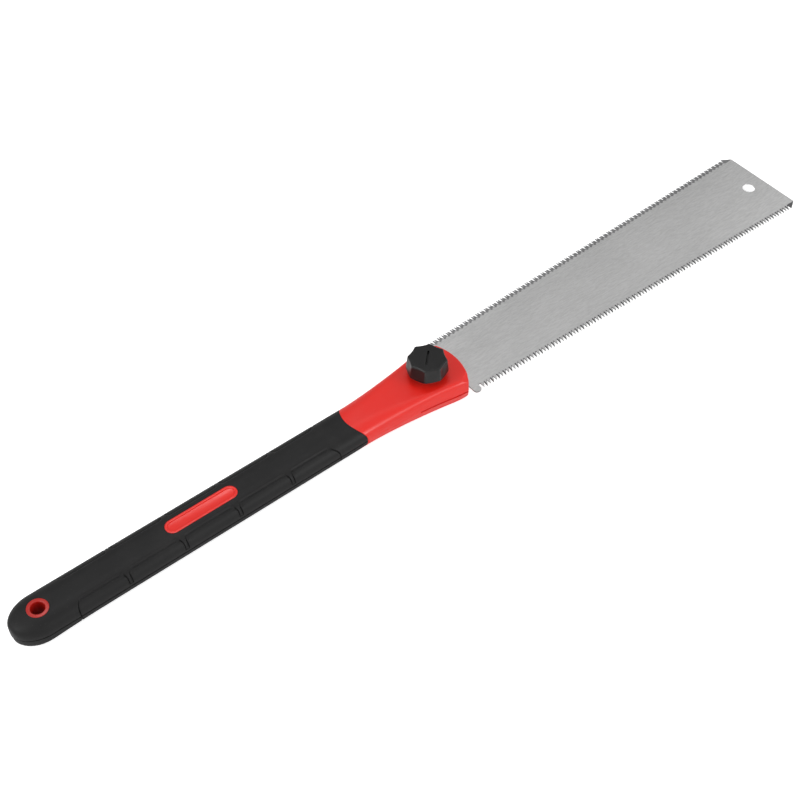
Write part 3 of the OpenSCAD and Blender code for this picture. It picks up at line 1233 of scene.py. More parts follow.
@dataclass
class KnobShell:
    """Black clamping knob with eight hollow grip faces and blunt corners."""

    centre_s: float = 266.4
    base_z: float = 9.2
    height: float = 11.7
    collar_h: float = 2.9
    collar_r: float = 8.0
    outer_r: float = 12.2
    draft: float = 0.95
    sides: int = 8
    hollow_r: float = 20.0
    face_d: float = 1.15
    turn_deg: float = 44.0
    corner_softness: float = 0.05
    hollow_low: float = 0.4
    top_round: float = 0.8
    under_round: float = 0.5
    mark: Stadium = Stadium(0.0, 11.2, 1.05, 8)
    mark_d: float = 1.6
    around: int = 240
    sharp_deg: float = 35.0

    def radius(self, angle: float, up: float) -> float:
        """Radius of the knob's side.

        Args:
            angle: Direction, in radians.
            up: Height over the knob's base.

        Returns:
            The radius, with the corners between the hollow faces softened.
        """
        lost = self.draft * (up - self.collar_h) / (self.height - self.collar_h)
        pitch = 2 * math.pi / self.sides
        off = (angle - math.radians(self.turn_deg)) % pitch - pitch / 2
        far = self.outer_r - self.face_d - lost + self.hollow_r
        hollow = far * math.cos(off) - math.sqrt(self.hollow_r**2 - (far * math.sin(off)) ** 2)
        blunt = self.outer_r - lost
        rise = smooth_step((up - self.collar_h) / (self.height - self.collar_h))
        share = self.hollow_low + (1 - self.hollow_low) * rise
        return blunt - share * soft_over(blunt - hollow, self.corner_softness)

    def ring(self, inset: float, up: float) -> list[Point]:
        """Ring of the knob's side at one height.

        Args:
            inset: How far the ring is drawn in.
            up: Height over the knob's base.

        Returns:
            The points.
        """
        level = min(max(up, self.collar_h), self.height)
        return turned(
            self.centre_s, lambda a: self.radius(a, level) - inset, self.base_z + up, self.around
        )

    def build(self, finish: "Finish") -> None:
        """Builds the knob and puts it in the place of the frame's knob.

        Args:
            finish: Finish of the knob.
        """
        r, h = self.collar_r, self.collar_h
        collar = (
            (r - 2.0, 0.0), (r - 0.3, 0.0), (r - 0.08, 0.08), (r, 0.3),
            (r, h - 0.3), (r + 0.1, h - 0.08), (r + 0.35, h),
        )
        rings = [circle(self.centre_s, r, self.base_z + up, self.around) for r, up in collar]
        quarter = [math.pi / 2 * i / 6 for i in range(7)]
        low, high = self.under_round, self.top_round
        start, end = h + low, self.height - high
        side = [(low + 1.5, h)]
        side += [(low * (1 - math.sin(a)), h + low * (1 - math.cos(a))) for a in quarter]
        side += [(0.0, up) for up in spread(start, end, 8)[1:]]
        side += [(high * (1 - math.cos(a)), end + high * math.sin(a)) for a in quarter]
        side += [(high + inset, self.height) for inset in (0.4, 1.2, 2.6)]
        rings += [self.ring(inset, up) for inset, up in side]
        piece = solid("knob_shell", rings)
        combine(piece, self.groove(), Operation.CUT)
        polish(piece, self.sharp_deg)
        settle(piece, Body.KNOB, Slot.BLACK_PLASTIC, finish, "clamp_knob")

    def groove(self) -> Piece:
        """Cutter for the straight index groove in the top.

        Returns:
            The cutter.
        """
        turn = math.radians(self.turn_deg)
        ahead, aside = math.cos(turn), math.sin(turn)
        s, top = self.centre_s, self.base_z + self.height
        floor = top - self.mark_d
        profile = ((0.12, floor), (0.0, floor + 0.1), (-0.02, top - 0.1), (-0.32, top + 0.2))
        rings = [
            [
                (s + x * ahead - y * aside, x * aside + y * ahead, z)
                for x, y, z in self.mark.ring(*at)
            ]
            for at in profile
        ]
        return solid("mark", rings)


@dataclass
class Fasteners:
    """Clamp screw with its rolled thread, and the nut in its seat."""

    centre_s: float = 266.4
    screw_r: float = 2.5
    pitch: float = 0.8
    thread_d: float = 0.42
    thread_end: float = 9.5
    crest_share: float = 1.25
    point_h: float = 0.6
    screw_end: float = -7.4
    head_z: float = 12.2
    head_h: float = 3.5
    hex_af: float = 8.0
    nut_low: float = -7.6
    nut_high: float = -3.6
    bore_r: float = 2.55
    hex_corner_r: float = 4.62
    bevel: float = 0.35
    ring_gap: float = 0.08
    around: int = 48
    screw_sharp_deg: float = 40.0
    nut_sharp_deg: float = 28.0

    def hexagon(self, limit: float, z: float) -> list[Point]:
        """Hexagon whose corners are turned down to a radius.

        Args:
            limit: Radius that the corners are turned down to.
            z: Height.

        Returns:
            The points.
        """
        side = math.pi / 3
        return turned(
            self.centre_s,
            lambda a: min(self.hex_af / 2 / math.cos(a % side - side / 2), limit),
            z,
            self.around,
        )

    def thread(self, z: float) -> list[Point]:
        """Ring of the screw's shank at one height.

        Args:
            z: Height.

        Returns:
            The points.
        """
        tip = self.screw_r - max(0.0, self.point_h - (z - self.screw_end))
        depth = self.thread_d * smooth_step(self.thread_end - z)

        def radius(angle: float) -> float:
            """Radius of the thread in a direction.

            Args:
                angle: Direction, in radians.

            Returns:
                The radius.
            """
            phase = (z / self.pitch - angle / (2 * math.pi)) % 1.0
            crest = min(1.0, abs(2 * phase - 1) * self.crest_share)
            return min(tip, self.screw_r - depth * (1 - crest))

        return turned(self.centre_s, radius, z, self.around)

    def build(self, finish: "Finish") -> None:
        """Builds the screw and the nut and puts them in the frame's places.

        Args:
            finish: Finish of the screw and the nut.
        """
        steps = int((self.head_z - self.screw_end) / self.ring_gap)
        rings = [self.thread(z) for z in spread(self.screw_end, self.head_z, steps)]
        rings.append(circle(self.centre_s, self.screw_r, self.head_z, self.around))
        flat, corner, bevel = self.hex_af / 2, self.hex_corner_r, self.bevel
        base, top = self.head_z, self.head_z + self.head_h
        head = ((flat, base), (corner, base + bevel), (corner, top - bevel), (flat, top))
        screw = solid("clamp_screw_threaded", rings + [self.hexagon(r, z) for r, z in head])
        polish(screw, self.screw_sharp_deg)
        settle(screw, Body.KNOB, Slot.FASTENER_STEEL, finish, "clamp_screw")

        low, high, bore = self.nut_low, self.nut_high, self.bore_r
        outer = [(3.86, 0.0), (flat, 0.08), (4.2, 0.19), (4.4, 0.31), (corner, 0.44)]
        rings = [self.hexagon(limit, low + up) for limit, up in outer]
        rings += [self.hexagon(limit, high - up) for limit, up in reversed(outer)]
        wide = bore + bevel
        inner = ((wide, high), (bore, high - bevel), (bore, low + bevel), (wide, low))
        rings += [circle(self.centre_s, r, z, self.around) for r, z in inner]
        nut = solid("clamp_nut_chamfered", rings, tube=True)
        polish(nut, self.nut_sharp_deg)
        settle(nut, Body.HANDLE, Slot.FASTENER_STEEL, finish, "clamp_nut")


@dataclass(frozen=True)
class ToothedEdge:
    """Teeth of one edge of the blade, which lean to alternate sides."""

    side: int
    per_inch: float
    gullets: tuple[float, float]
    lean: float
    lobe_rise: float
    lobe_len: float
    lobe_r: float
    hardened_and_shaded: bool

    @property
    def pitch(self) -> float:
        """Distance between two teeth."""
        return INCH / self.per_inch

    @property
    def depth(self) -> float:
        """Depth of the deeper gullets."""
        return max(self.gullets)


@dataclass
class BladePlate:
    """Thin steel blade: rip teeth near, crosscut teeth far, and a slotted tang."""

    form: HandleForm
    length: float = 550.0
    half_t: float = 0.35
    heel_w: float = 47.0
    toe_w: float = 61.2
    toe_cut_len: float = 6.2
    toe_cut_d: float = 3.8
    heel_ahead: float = 2.4
    tooth_gap: float = 1.2
    tang_s: float = 238.4
    tang_half_w: float = 10.0
    relief: float = 1.2
    shoulder_s: float = 248.4
    neck_half_w: float = 18.0
    notch_r: float = 2.8
    hole_in: float = 12.8
    hole_r: float = 4.0
    chamfer: float = 0.08
    set_out: float = 0.12
    tip_t: float = 0.25
    facet_shares: tuple[float, float] = (0.3, 0.2)
    facet_foot: float = 0.06
    facet_tip: float = 0.14
    dark_face_share: float = 0.79
    bright_mid: float = 0.4
    bright_half: float = 0.15
    level_z: float = 0.99
    upright_z: float = 0.05
    flat_corners: int = 8
    rip: ToothedEdge = ToothedEdge(-1, 11.0, (3.9, 3.9), 0.15, 0.6, 5.0, 2.2, False)
    crosscut: ToothedEdge = ToothedEdge(1, 15.0, (3.1, 4.4), 0.25, -1.0, 1.6, 0.7, True)

    @property
    def heel_s(self) -> float:
        """Station of the rear of the heel's lobes."""
        return self.form.corner_s + self.heel_ahead

    @property
    def tooth_s(self) -> float:
        """Station where the teeth begin."""
        return self.heel_s + self.rip.lobe_len + self.tooth_gap

    @property
    def toe_s(self) -> float:
        """Station where the teeth end and the toe's corners are cut."""
        return self.length - self.toe_cut_len

    def edge_half_w(self, s: float) -> float:
        """Half the width over the teeth at station s."""
        taper = (self.toe_w - self.heel_w) / 2 / (self.toe_s - self.tooth_s)
        return self.heel_w / 2 + (s - self.tooth_s) * taper

    def teeth(self, edge: ToothedEdge) -> tuple[float, int]:
        """Station where an edge's first tooth begins, and the number of its teeth."""
        count = int((self.toe_s - self.heel_s - edge.lobe_len - self.tooth_gap) / edge.pitch)
        return self.toe_s - count * edge.pitch, count

    def facets(self, root: Vector, tip: Vector, following: Vector) -> tuple[Vector, Vector, Vector]:
        """Corners of the flat field that is left between the two facets ground on a tooth.

        Args:
            root: Root behind the tooth.
            tip: The tooth's tip.
            following: Root ahead of the tooth.

        Returns:
            The corners by the rear root, the tip and the front root.
        """
        rear, front = self.facet_shares
        base = following - root
        low = root + base * rear + (tip - root) * self.facet_foot
        high = tip + ((root + following) / 2 - tip) * self.facet_tip + base * (rear - front) / 2
        ahead = following - base * front + (tip - following) * self.facet_foot
        return tuple(Vector((q.x, q.y, root.z)) for q in (low, high, ahead))

    def rear(self, edge: ToothedEdge) -> list[tuple[float, float]]:
        """Half outline from the tail of the tang to the end of the heel's lobe.

        Args:
            edge: The edge that the half runs to.

        Returns:
            Stations and half widths, from the tail on.
        """
        heel, top = self.heel_s, self.edge_half_w(self.heel_s) + edge.lobe_rise
        outline = [
            (self.tang_s, self.tang_half_w - self.relief),
            (self.tang_s + self.relief, self.tang_half_w),
            (self.shoulder_s, self.tang_half_w),
            (heel - self.relief, self.neck_half_w - self.relief),
            (heel, self.neck_half_w - self.relief / 2),
        ]
        r = edge.lobe_r
        for mid, start, end in ((heel + r, 180, 90), (heel + edge.lobe_len - r, 90, 0)):
            for i in range(9):
                turn = math.radians(start + (end - start) * i / 8)
                outline.append((mid + r * math.cos(turn), top - r + r * math.sin(turn)))
        outline.append((heel + edge.lobe_len, top - edge.lobe_rise - edge.depth))
        return outline

    def half(self, shell: Shell, edge: ToothedEdge) -> list[list[int]]:
        """Adds the points and the tooth faces of one edge.

        Args:
            shell: The shell that they are added to.
            edge: The edge.

        Returns:
            The numbers of the upper and lower outline, teeth included, and of the upper and
            lower outline through the roots alone.
        """
        t, side = self.half_t, edge.side
        outlines: list[list[int]] = [[], [], [], []]

        def pair(s: float, y: float, high: float, low: float) -> list[int]:
            """Adds a point of the upper outline and the point of the lower one below it.

            Args:
                s: Station.
                y: Half width.
                high: Height of the upper point.
                low: Height of the lower point.

            Returns:
                Their numbers.
            """
            made = [shell.ring([(s, side * y, z)])[0] for z in (high, low)]
            for outline, number in zip(outlines, made):
                outline.append(number)
            return made

        def flat(s: float, y: float) -> list[int]:
            """Adds a point of both faces of the plate.

            Args:
                s: Station.
                y: Half width.

            Returns:
                Their numbers.
            """
            made = pair(s, y, t, -t)
            for outline, number in zip(outlines[2:], made):
                outline.append(number)
            return made

        for s, y in self.rear(edge):
            flat(s, y)
        first, count = self.teeth(edge)
        outer = t + self.set_out
        inner = outer - self.tip_t
        root = flat(first, self.edge_half_w(first) - edge.gullets[1])
        for i in range(count):
            s = first + i * edge.pitch
            up = i % 2 == 0
            levels = (outer, inner) if up else (-inner, -outer)
            tips = pair(s - edge.lean, self.edge_half_w(s), *levels)
            end = s + edge.pitch
            following = flat(end, self.edge_half_w(end) - edge.gullets[i % 2])
            ground, plain = (1, 0) if up else (0, 1)
            shell.faces.append((root[plain], tips[plain], following[plain]))
            a, b, c = root[ground], tips[ground], following[ground]
            low, high, ahead = shell.ring(self.facets(*(shell.points[k] for k in (a, b, c))))
            shell.faces.extend([
                (a, b, high), (a, high, low), (b, c, high), (high, c, ahead),
                (low, high, ahead), (a, low, ahead, c),
            ])
            root = following
        end_y = self.edge_half_w(self.toe_s)
        flat(self.toe_s + 0.01, end_y)
        flat(self.length, end_y - self.toe_cut_d)
        return outlines

    def tone(self, face: bpy.types.MeshPolygon) -> int:
        """Number of a face's material: 0 for the plate, 1 for the dark tooth finish, which is
        painted shade and dark reflection, and 2 for hardened teeth.

        Args:
            face: The face.

        Returns:
            The number.
        """
        edge = self.crosscut if face.center.y > 0 else self.rip
        s = station_of(face.center)
        first = self.teeth(edge)[0]
        depth = self.edge_half_w(s) - abs(face.center.y) / MM
        lift = abs(face.normal.z)
        # Steep tooth walls, and tooth faces near the edge outside a lighter band, take the dark
        # finish: painted shade and dark reflection of the teeth.
        steep = lift < self.level_z and depth < edge.depth
        flat = s > first and depth < self.dark_face_share * edge.depth
        # Hardened teeth take their own finish, darker partly from hardening and partly with painted
        # shade.
        if edge.hardened_and_shaded and (steep or flat):
            return 2
        beside = abs((s - first) / edge.pitch % 1 - self.bright_mid) > self.bright_half
        # Upright walls of the heel also take the dark finish.
        upright_heel_wall = lift < self.upright_z and s < self.tooth_s
        return int(steep or (flat and beside) or upright_heel_wall)

    def build(self, finish: "Finish", shaded_teeth: "Finish", hardened_and_shaded: "Finish") -> None:
        """Builds the blade and puts it in the place of the frame's blade.

        Args:
            finish: Finish of the plate.
            shaded_teeth: Dark finish of the teeth and the heel's walls: painted shade and dark
                reflection.
            hardened_and_shaded: Finish of the hardened teeth, darker partly from their hardening
                and partly with painted shade.
        """
        shell = Shell("blade_plate")
        halves = [self.half(shell, edge) for edge in (self.rip, self.crosscut)]
        upper, lower, upper_root, lower_root = ([*a[::-1], *b] for a, b in zip(*halves))
        shell.bridge(upper, lower)
        shell.faces.extend([tuple(upper_root), tuple(lower_root)])
        piece = shell.make()
        for cutter in (self.notch(), self.hole()):
            combine(piece, cutter, Operation.CUT)
        divide_flats(piece, self.flat_corners)
        settle(piece, Body.BLADE, Slot.BLADE_STEEL, finish, "saw_blade")
        for other in (shaded_teeth, hardened_and_shaded):
            piece.data.materials.append(other.material())
        for face in piece.data.polygons:
            face.material_index = self.tone(face)

    def notch(self) -> Piece:
        """Cutter for the slot in the tang that slides over the screw.

        Returns:
            The cutter.
        """
        s, r, tail, reach = self.form.clamp_s, self.notch_r, self.tang_s - 2, 2.0
        turns = [math.pi * i / 32 for i in range(33)]
        outline = [(tail, -r), *((s + r * math.sin(a), -r * math.cos(a)) for a in turns), (tail, r)]
        return solid("notch", [[(x, y, z) for x, y in outline] for z in (-reach, reach)])

    def hole(self) -> Piece:
        """Cutter for the hole in the toe, with lightly chamfered rims.

        Returns:
            The cutter.
        """
        s, r, t, c = self.length - self.hole_in, self.hole_r, self.half_t, self.chamfer
        profile = ((r + 3 * c, -t - 2 * c), (r, -t + c), (r, t - c), (r + 3 * c, t + 2 * c))
        return solid("hole", [circle(s, radius, z, 128) for radius, z in profile])


def coat(piece: Piece, finish: "Finish", slot: Slot) -> None:
    """Gives a piece its finish.

    Args:
        piece: The piece.
        finish: Its finish.
        slot: Not used.
    """
    piece.data.materials.clear()
    piece.data.materials.append(finish.material())


def settle(piece: Piece, body: Body, slot: Slot, finish: "Finish", *nodes: str) -> None:
    """Gives a piece its finish and its place in the frame.

    Args:
        piece: The piece.
        body: The body that it rides on.
        slot: The record's slot that it takes its finish from.
        finish: Its finish.
        *nodes: CAD nodes that it stands for.
    """
    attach(piece, body.value)
    coat(piece, finish, slot)
    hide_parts(*nodes)
    LOG.info("%s: %d faces", piece.name, len(piece.data.polygons))


class Graph:
    """Short way to add nodes to a node tree and to link them."""

    def __init__(self, tree: bpy.types.NodeTree) -> None:
        """Starts on a tree."""
        self.tree = tree

    def feed(self, socket: Socket, value: object) -> None:
        """Links a socket to an input or sets the input's own value.

        Args:
            socket: The input.
            value: The output socket or the value.
        """
        if isinstance(value, Socket):
            self.tree.links.new(value, socket)
        else:
            socket.default_value = value

    def add(
        self, kind: str, values: dict[str, object] | None = None, **settings: object
    ) -> Node:
        """Adds a node.

        Args:
            kind: Blender's name of the node type, without ShaderNode.
            values: Input values or output sockets to link, by socket name or number.
            **settings: Properties of the node.

        Returns:
            The node.
        """
        node = self.tree.nodes.new(kind if kind.startswith("Node") else "ShaderNode" + kind)
        for key, value in settings.items():
            setattr(node, key, value)
        for key, value in (values or {}).items():
            self.feed(node.inputs[int(key) if key.isdigit() else key], value)
        return node

    def math(self, operation: str, a: object, b: object, clamp: bool = False) -> Socket:
        """Result of a Math node for two values or sockets."""
        node = self.add("Math", {"0": a, "1": b}, operation=operation, use_clamp=clamp)
        return node.outputs[0]

    def times(self, a: object, b: object) -> Socket:
        """Product of two values or sockets."""
        return self.math("MULTIPLY", a, b)

    def ramp(
        self, value: Socket, low: object, high: object, start: float = 0.0, end: float = 1.0
    ) -> Socket:
        """Value mapped from low..high to start..end, and kept there."""
        ends = {"From Min": low, "From Max": high, "To Min": start, "To Max": end}
        return self.add("MapRange", {"Value": value, **ends}, clamp=True).outputs["Result"]

    def stretch(self, vector: Socket, shares: object) -> Socket:
        """Vector multiplied by shares along the three axes."""
        node = self.add("VectorMath", {"0": vector, "1": shares}, operation="MULTIPLY")
        return node.outputs[0]

    def noise(self, vector: Socket, scale: object, detail: float, rough: float) -> Socket:
        """Value of a noise texture."""
        values = {"Vector": vector, "Scale": scale, "Detail": detail, "Roughness": rough}
        return self.add("TexNoise", values).outputs[0]

    def bump(self, height: Socket, depth_mm: float, normal: Socket | None = None) -> Socket:
        """Normal of a bumpy surface, on top of another normal where one is given.

        Args:
            height: Height of the bumps, as a share.
            depth_mm: Height of a full bump.
            normal: Normal that it lies on top of.

        Returns:
            The normal.
        """
        values = {"Height": height, "Strength": 1.0, "Distance": depth_mm * MM}
        if normal:
            values["Normal"] = normal
        return self.add("Bump", values).outputs[0]

    def blend(self, factor: Socket, a: object, b: object) -> Socket:
        """Colour blended from a to b.

        Args:
            factor: Share of b.
            a: First colour.
            b: Second colour.

        Returns:
            The colour.
        """
        node = self.add("Mix", data_type="RGBA")
        for index, value in ((0, factor), (6, a), (7, b)):
            opaque = (*value, 1.0) if isinstance(value, tuple) else value
            self.feed(node.inputs[index], opaque)
        return node.outputs[2]


class Effect(ABC):
    """Shader node group for an effect that several finishes share."""

    name: str
    inputs: dict[str, tuple[str, float]]
    outputs: dict[str, str]

    def group(self) -> bpy.types.NodeTree:
        """The group, built at the first call.

        Returns:
            The group.
        """
        found = bpy.data.node_groups.get(self.name)
        if found:
            return found
        tree = bpy.data.node_groups.new(self.name, "ShaderNodeTree")
        for label, (kind, value) in self.inputs.items():
            socket = tree.interface.new_socket(name=label, in_out="INPUT", socket_type=kind)
            if kind == "NodeSocketFloat":
                socket.default_value = value
        for label, kind in self.outputs.items():
            tree.interface.new_socket(name=label, in_out="OUTPUT", socket_type=kind)
        graph = Graph(tree)
        source = graph.add("NodeGroupInput")
        sink = graph.add("NodeGroupOutput")
        for label, socket in self.wire(graph, source).items():
            tree.links.new(socket, sink.inputs[label])
        return tree

    def use(self, graph: Graph, values: dict[str, object]) -> Node:
        """Places the group in a material with its own values.

        Args:
            graph: Node tree of the material.
            values: Values or output sockets for the group's inputs, by name.

        Returns:
            The group's node.
        """
        node = graph.add("Group")
        node.node_tree = self.group()
        for key, value in values.items():
            graph.feed(node.inputs[key], value)
        return node

    @abstractmethod
    def wire(self, graph: Graph, source: Node) -> dict[str, Socket]:
        """Wires the inside of the group and returns its output sockets by name."""


FLOAT = "NodeSocketFloat"
VECTOR = "NodeSocketVector"


class MouldedGrain(Effect):
    """Fine spark-eroded grain of a moulded skin, with slow unevenness below it."""

    name = "moulded_grain"
    inputs = {"Place": (VECTOR, 0.0), "Grain": (FLOAT, 2600.0), "Unevenness": (FLOAT, 60.0)}
    outputs = {"Height": FLOAT, "Patches": FLOAT, "Flow": FLOAT}

    def wire(self, graph: Graph, source: Node) -> dict[str, Socket]:
        """Wires grain from noise and cells, and patches and flow from wide noises.

        Args:
            graph: Node tree of the group.
            source: The group's input node.

        Returns:
            The output sockets, by name.
        """
        at, scale = source.outputs["Place"], source.outputs["Grain"]
        grain = graph.noise(at, scale, 3.0, 0.6)
        cells = graph.add("TexVoronoi", {"Vector": at, "Scale": scale}, feature="SMOOTH_F1")
        pits = graph.ramp(cells.outputs["Distance"], 0.1, 0.7)
        height = graph.math("ADD", graph.times(grain, 0.6), graph.times(pits, 0.4))
        wide = source.outputs["Unevenness"]
        patches = graph.noise(at, wide, 4.0, 0.55)
        flow = graph.noise(graph.stretch(at, (0.25, 1.0, 1.0)), wide, 2.0, 0.5)
        return {"Height": height, "Patches": patches, "Flow": flow}


class EdgeWear(Effect):
    """Mask of edges that handling has rubbed, broken up by noise."""

    name = "edge_wear"
    inputs = {
        "Place": (VECTOR, 0.0),
        "Pointiness": (FLOAT, 0.5),
        "Start": (FLOAT, 0.52),
        "Full": (FLOAT, 0.6),
    }
    outputs = {"Mask": FLOAT}

    def wire(self, graph: Graph, source: Node) -> dict[str, Socket]:
        """Wires the mask of convex edges.

        Args:
            graph: Node tree of the group.
            source: The group's input node.

        Returns:
            The output sockets, by name.
        """
        pointiness, start, full = (source.outputs[k] for k in ("Pointiness", "Start", "Full"))
        convex = graph.ramp(pointiness, start, full)
        broken = graph.ramp(graph.noise(source.outputs["Place"], 420.0, 4.0, 0.6), 0.35, 0.65)
        return {"Mask": graph.times(convex, broken)}


class FineDust(Effect):
    """Sparse specks and a thin veil of dust, thicker on faces that look up."""

    name = "fine_dust"
    inputs = {"Place": (VECTOR, 0.0), "Normal": (VECTOR, 0.0), "Specks": (FLOAT, 900.0)}
    outputs = {"Mask": FLOAT}

    def wire(self, graph: Graph, source: Node) -> dict[str, Socket]:
        """Wires specks from cells and a veil from noise, both by the way that a face looks.

        Args:
            graph: Node tree of the group.
            source: The group's input node.

        Returns:
            The output sockets, by name.
        """
        at = source.outputs["Place"]
        up = graph.add("SeparateXYZ", {"0": source.outputs["Normal"]}).outputs["Z"]
        facing = graph.ramp(up, 0.0, 0.9, 0.25, 1.0)
        cells = graph.add("TexVoronoi", {"Vector": at, "Scale": source.outputs["Specks"]})
        seed = graph.add("SeparateColor", {"0": cells.outputs["Color"]}).outputs[0]
        chosen = graph.math("GREATER_THAN", seed, 0.93)
        speck = graph.times(graph.ramp(cells.outputs["Distance"], 0.22, 0.08), chosen)
        veil = graph.ramp(graph.noise(at, 90.0, 5.0, 0.6), 0.45, 0.75, 0.0, 0.25)
        return {"Mask": graph.times(graph.math("MAXIMUM", speck, veil), facing)}


class BrushedLines(Effect):
    """Fine lines that run along the saw, as a belt grinder leaves them."""

    name = "brushed_lines"
    inputs = {"Place": (VECTOR, 0.0), "Lines": (FLOAT, 2400.0), "Length": (FLOAT, 0.02)}
    outputs = {"Height": FLOAT, "Tone": FLOAT, "Clouds": FLOAT}

    def wire(self, graph: Graph, source: Node) -> dict[str, Socket]:
        """Wires two stretched noises for the lines and a wide one for the clouds.

        Args:
            graph: Node tree of the group.
            source: The group's input node.

        Returns:
            The output sockets, by name.
        """
        at, lines = source.outputs["Place"], source.outputs["Lines"]
        squeeze = graph.add("CombineXYZ", {"X": source.outputs["Length"], "Y": 1.0, "Z": 1.0})
        along = graph.stretch(at, squeeze.outputs[0])
        fine = graph.noise(along, lines, 4.0, 0.65)
        coarse = graph.noise(along, graph.times(lines, 0.28), 3.0, 0.6)
        tone = graph.math("ADD", graph.times(fine, 0.75), graph.times(coarse, 0.25))
        clouds = graph.noise(graph.stretch(at, (0.35, 1.0, 1.0)), 55.0, 4.0, 0.55)
        return {"Height": fine, "Tone": tone, "Clouds": clouds}


@dataclass(frozen=True)
class Finish(ABC):
    """Finish of a piece. Its material is made once and shared."""

    name: str

    def material(self) -> bpy.types.Material:
        """The material, built at the first call.

        Returns:
            The material.
        """
        found = bpy.data.materials.get(self.name)
        if found:
            return found
        made = bpy.data.materials.new(self.name)
        made.use_nodes = True
        made.node_tree.nodes.clear()
        graph = Graph(made.node_tree)
        shader = graph.add("BsdfPrincipled")
        output = graph.add("OutputMaterial")
        made.node_tree.links.new(shader.outputs[0], output.inputs["Surface"])
        self.wire(graph, shader)
        return made

    @staticmethod
    def feed(graph: Graph, shader: Node, values: dict[str, object]) -> None:
        """Links sockets to the shader's inputs, or sets their own values, by name."""
        for label, value in values.items():
            graph.feed(shader.inputs[label], value)

    @abstractmethod
    def wire(self, graph: Graph, shader: Node) -> None:
        """Wires the material's nodes to its shader."""


@dataclass(frozen=True)
class MouldedPlastic(Finish):
    """Moulded plastic or rubber: grain, slow unevenness, rubbed edges and fine dust."""

    colour: Colour
    deep: Colour
    worn: Colour
    dust: Colour
    roughness: float
    specular: float
    grain: float
    grain_height: float
    flow_height: float
    dust_share: float
    wear_share: float
    unevenness: float = 45.0

    def wire(self, graph: Graph, shader: Node) -> None:
        """Wires colour, roughness and bump from the shared effects.

        Args:
            graph: Node tree of the material.
            shader: The material's shader.
        """
        at = graph.add("TexCoord").outputs["Object"]
        geometry = graph.add("NewGeometry").outputs
        grain = MouldedGrain().use(
            graph, {"Place": at, "Grain": self.grain, "Unevenness": self.unevenness}
        )
        wear = EdgeWear().use(graph, {"Place": at, "Pointiness": geometry["Pointiness"]})
        dust = FineDust().use(graph, {"Place": at, "Normal": geometry["Normal"]})
        patches = graph.ramp(grain.outputs["Patches"], 0.3, 0.7)
        rubbed = graph.times(wear.outputs["Mask"], self.wear_share)
        dusted = graph.times(dust.outputs["Mask"], self.dust_share)
        base = graph.blend(patches, self.colour, self.deep)
        base = graph.blend(rubbed, base, self.worn)
        base = graph.blend(dusted, base, self.dust)
        rough = graph.ramp(patches, 0.0, 1.0, self.roughness - 0.03, self.roughness + 0.04)
        rough = graph.math("SUBTRACT", rough, graph.times(rubbed, 0.12))
        rough = graph.math("ADD", rough, graph.times(dusted, 0.3), clamp=True)
        fine = graph.bump(grain.outputs["Height"], self.grain_height)
        broad = graph.bump(grain.outputs["Flow"], self.flow_height, fine)
        self.feed(graph, shader, {
            "Base Color": base, "Roughness": rough, "Normal": broad,
            "Specular IOR Level": self.specular,
        })


@dataclass(frozen=True)
class GroundSteel(Finish):
    """Steel with fine grinding lines, soft clouds and rubbed edges."""

    colour: Colour
    dark: Colour
    roughness: float
    lines: float
    line_len: float
    line_height: float
    contrast: float

    def wire(self, graph: Graph, shader: Node) -> None:
        """Wires colour, roughness and bump from the shared effects.

        Args:
            graph: Node tree of the material.
            shader: The material's shader.
        """
        at = graph.add("TexCoord").outputs["Object"]
        pointiness = graph.add("NewGeometry").outputs["Pointiness"]
        lines = BrushedLines().use(
            graph, {"Place": at, "Lines": self.lines, "Length": self.line_len}
        )
        wear = EdgeWear().use(graph, {"Place": at, "Pointiness": pointiness})
        tone = graph.ramp(lines.outputs["Tone"], 0.39, 0.61)
        clouds = graph.ramp(lines.outputs["Clouds"], 0.3, 0.7)
        shade = graph.math(
            "ADD", graph.times(tone, self.contrast), graph.times(clouds, 1 - self.contrast)
        )
        base = graph.blend(shade, self.dark, self.colour)
        rough = graph.ramp(tone, 0.0, 1.0, self.roughness + 0.05, self.roughness - 0.04)
        rough = graph.math("SUBTRACT", rough, graph.times(wear.outputs["Mask"], 0.06))
        bump = graph.bump(lines.outputs["Height"], self.line_height)
        self.feed(graph, shader, {
            "Base Color": base, "Roughness": rough, "Normal": bump, "Metallic": 1.0,
        })


@dataclass(frozen=True)
class FloorPaint(Finish):
    """Pale matt floor of a light table, with a trace of unevenness."""

    colour: Colour = (0.95, 0.95, 0.95)
    deep: Colour = (0.92, 0.92, 0.92)
    glow: float = 0.66
    roughness: float = 0.9
    specular: float = 0.1

    def wire(self, graph: Graph, shader: Node) -> None:
        """Wires a nearly even white.

        Args:
            graph: Node tree of the material.
            shader: The material's shader.
        """
        at = graph.add("TexCoord").outputs["Object"]
        soft = graph.ramp(graph.noise(at, 3.0, 3.0, 0.5), 0.3, 0.7)
        base = graph.blend(soft, self.deep, self.colour)
        seen = graph.add("LightPath").outputs["Is Camera Ray"]
        lift = graph.blend(seen, (0.0, 0.0, 0.0), (1.0, 1.0, 1.0))
        self.feed(graph, shader, {
            "Base Color": base, "Emission Color": lift, "Emission Strength": self.glow,
            "Roughness": self.roughness, "Specular IOR Level": self.specular,
        })


RED = MouldedPlastic(
    name="moulded_red",
    colour=(0.73, 0.0145, 0.0080),
    deep=(0.70, 0.0130, 0.0072),
    worn=(0.74, 0.045, 0.032),
    dust=(0.7, 0.5, 0.48),
    roughness=0.31,
    specular=0.5,
    grain=3200.0,
    grain_height=0.004,
    flow_height=0.03,
    dust_share=0.05,
    wear_share=0.25,
)
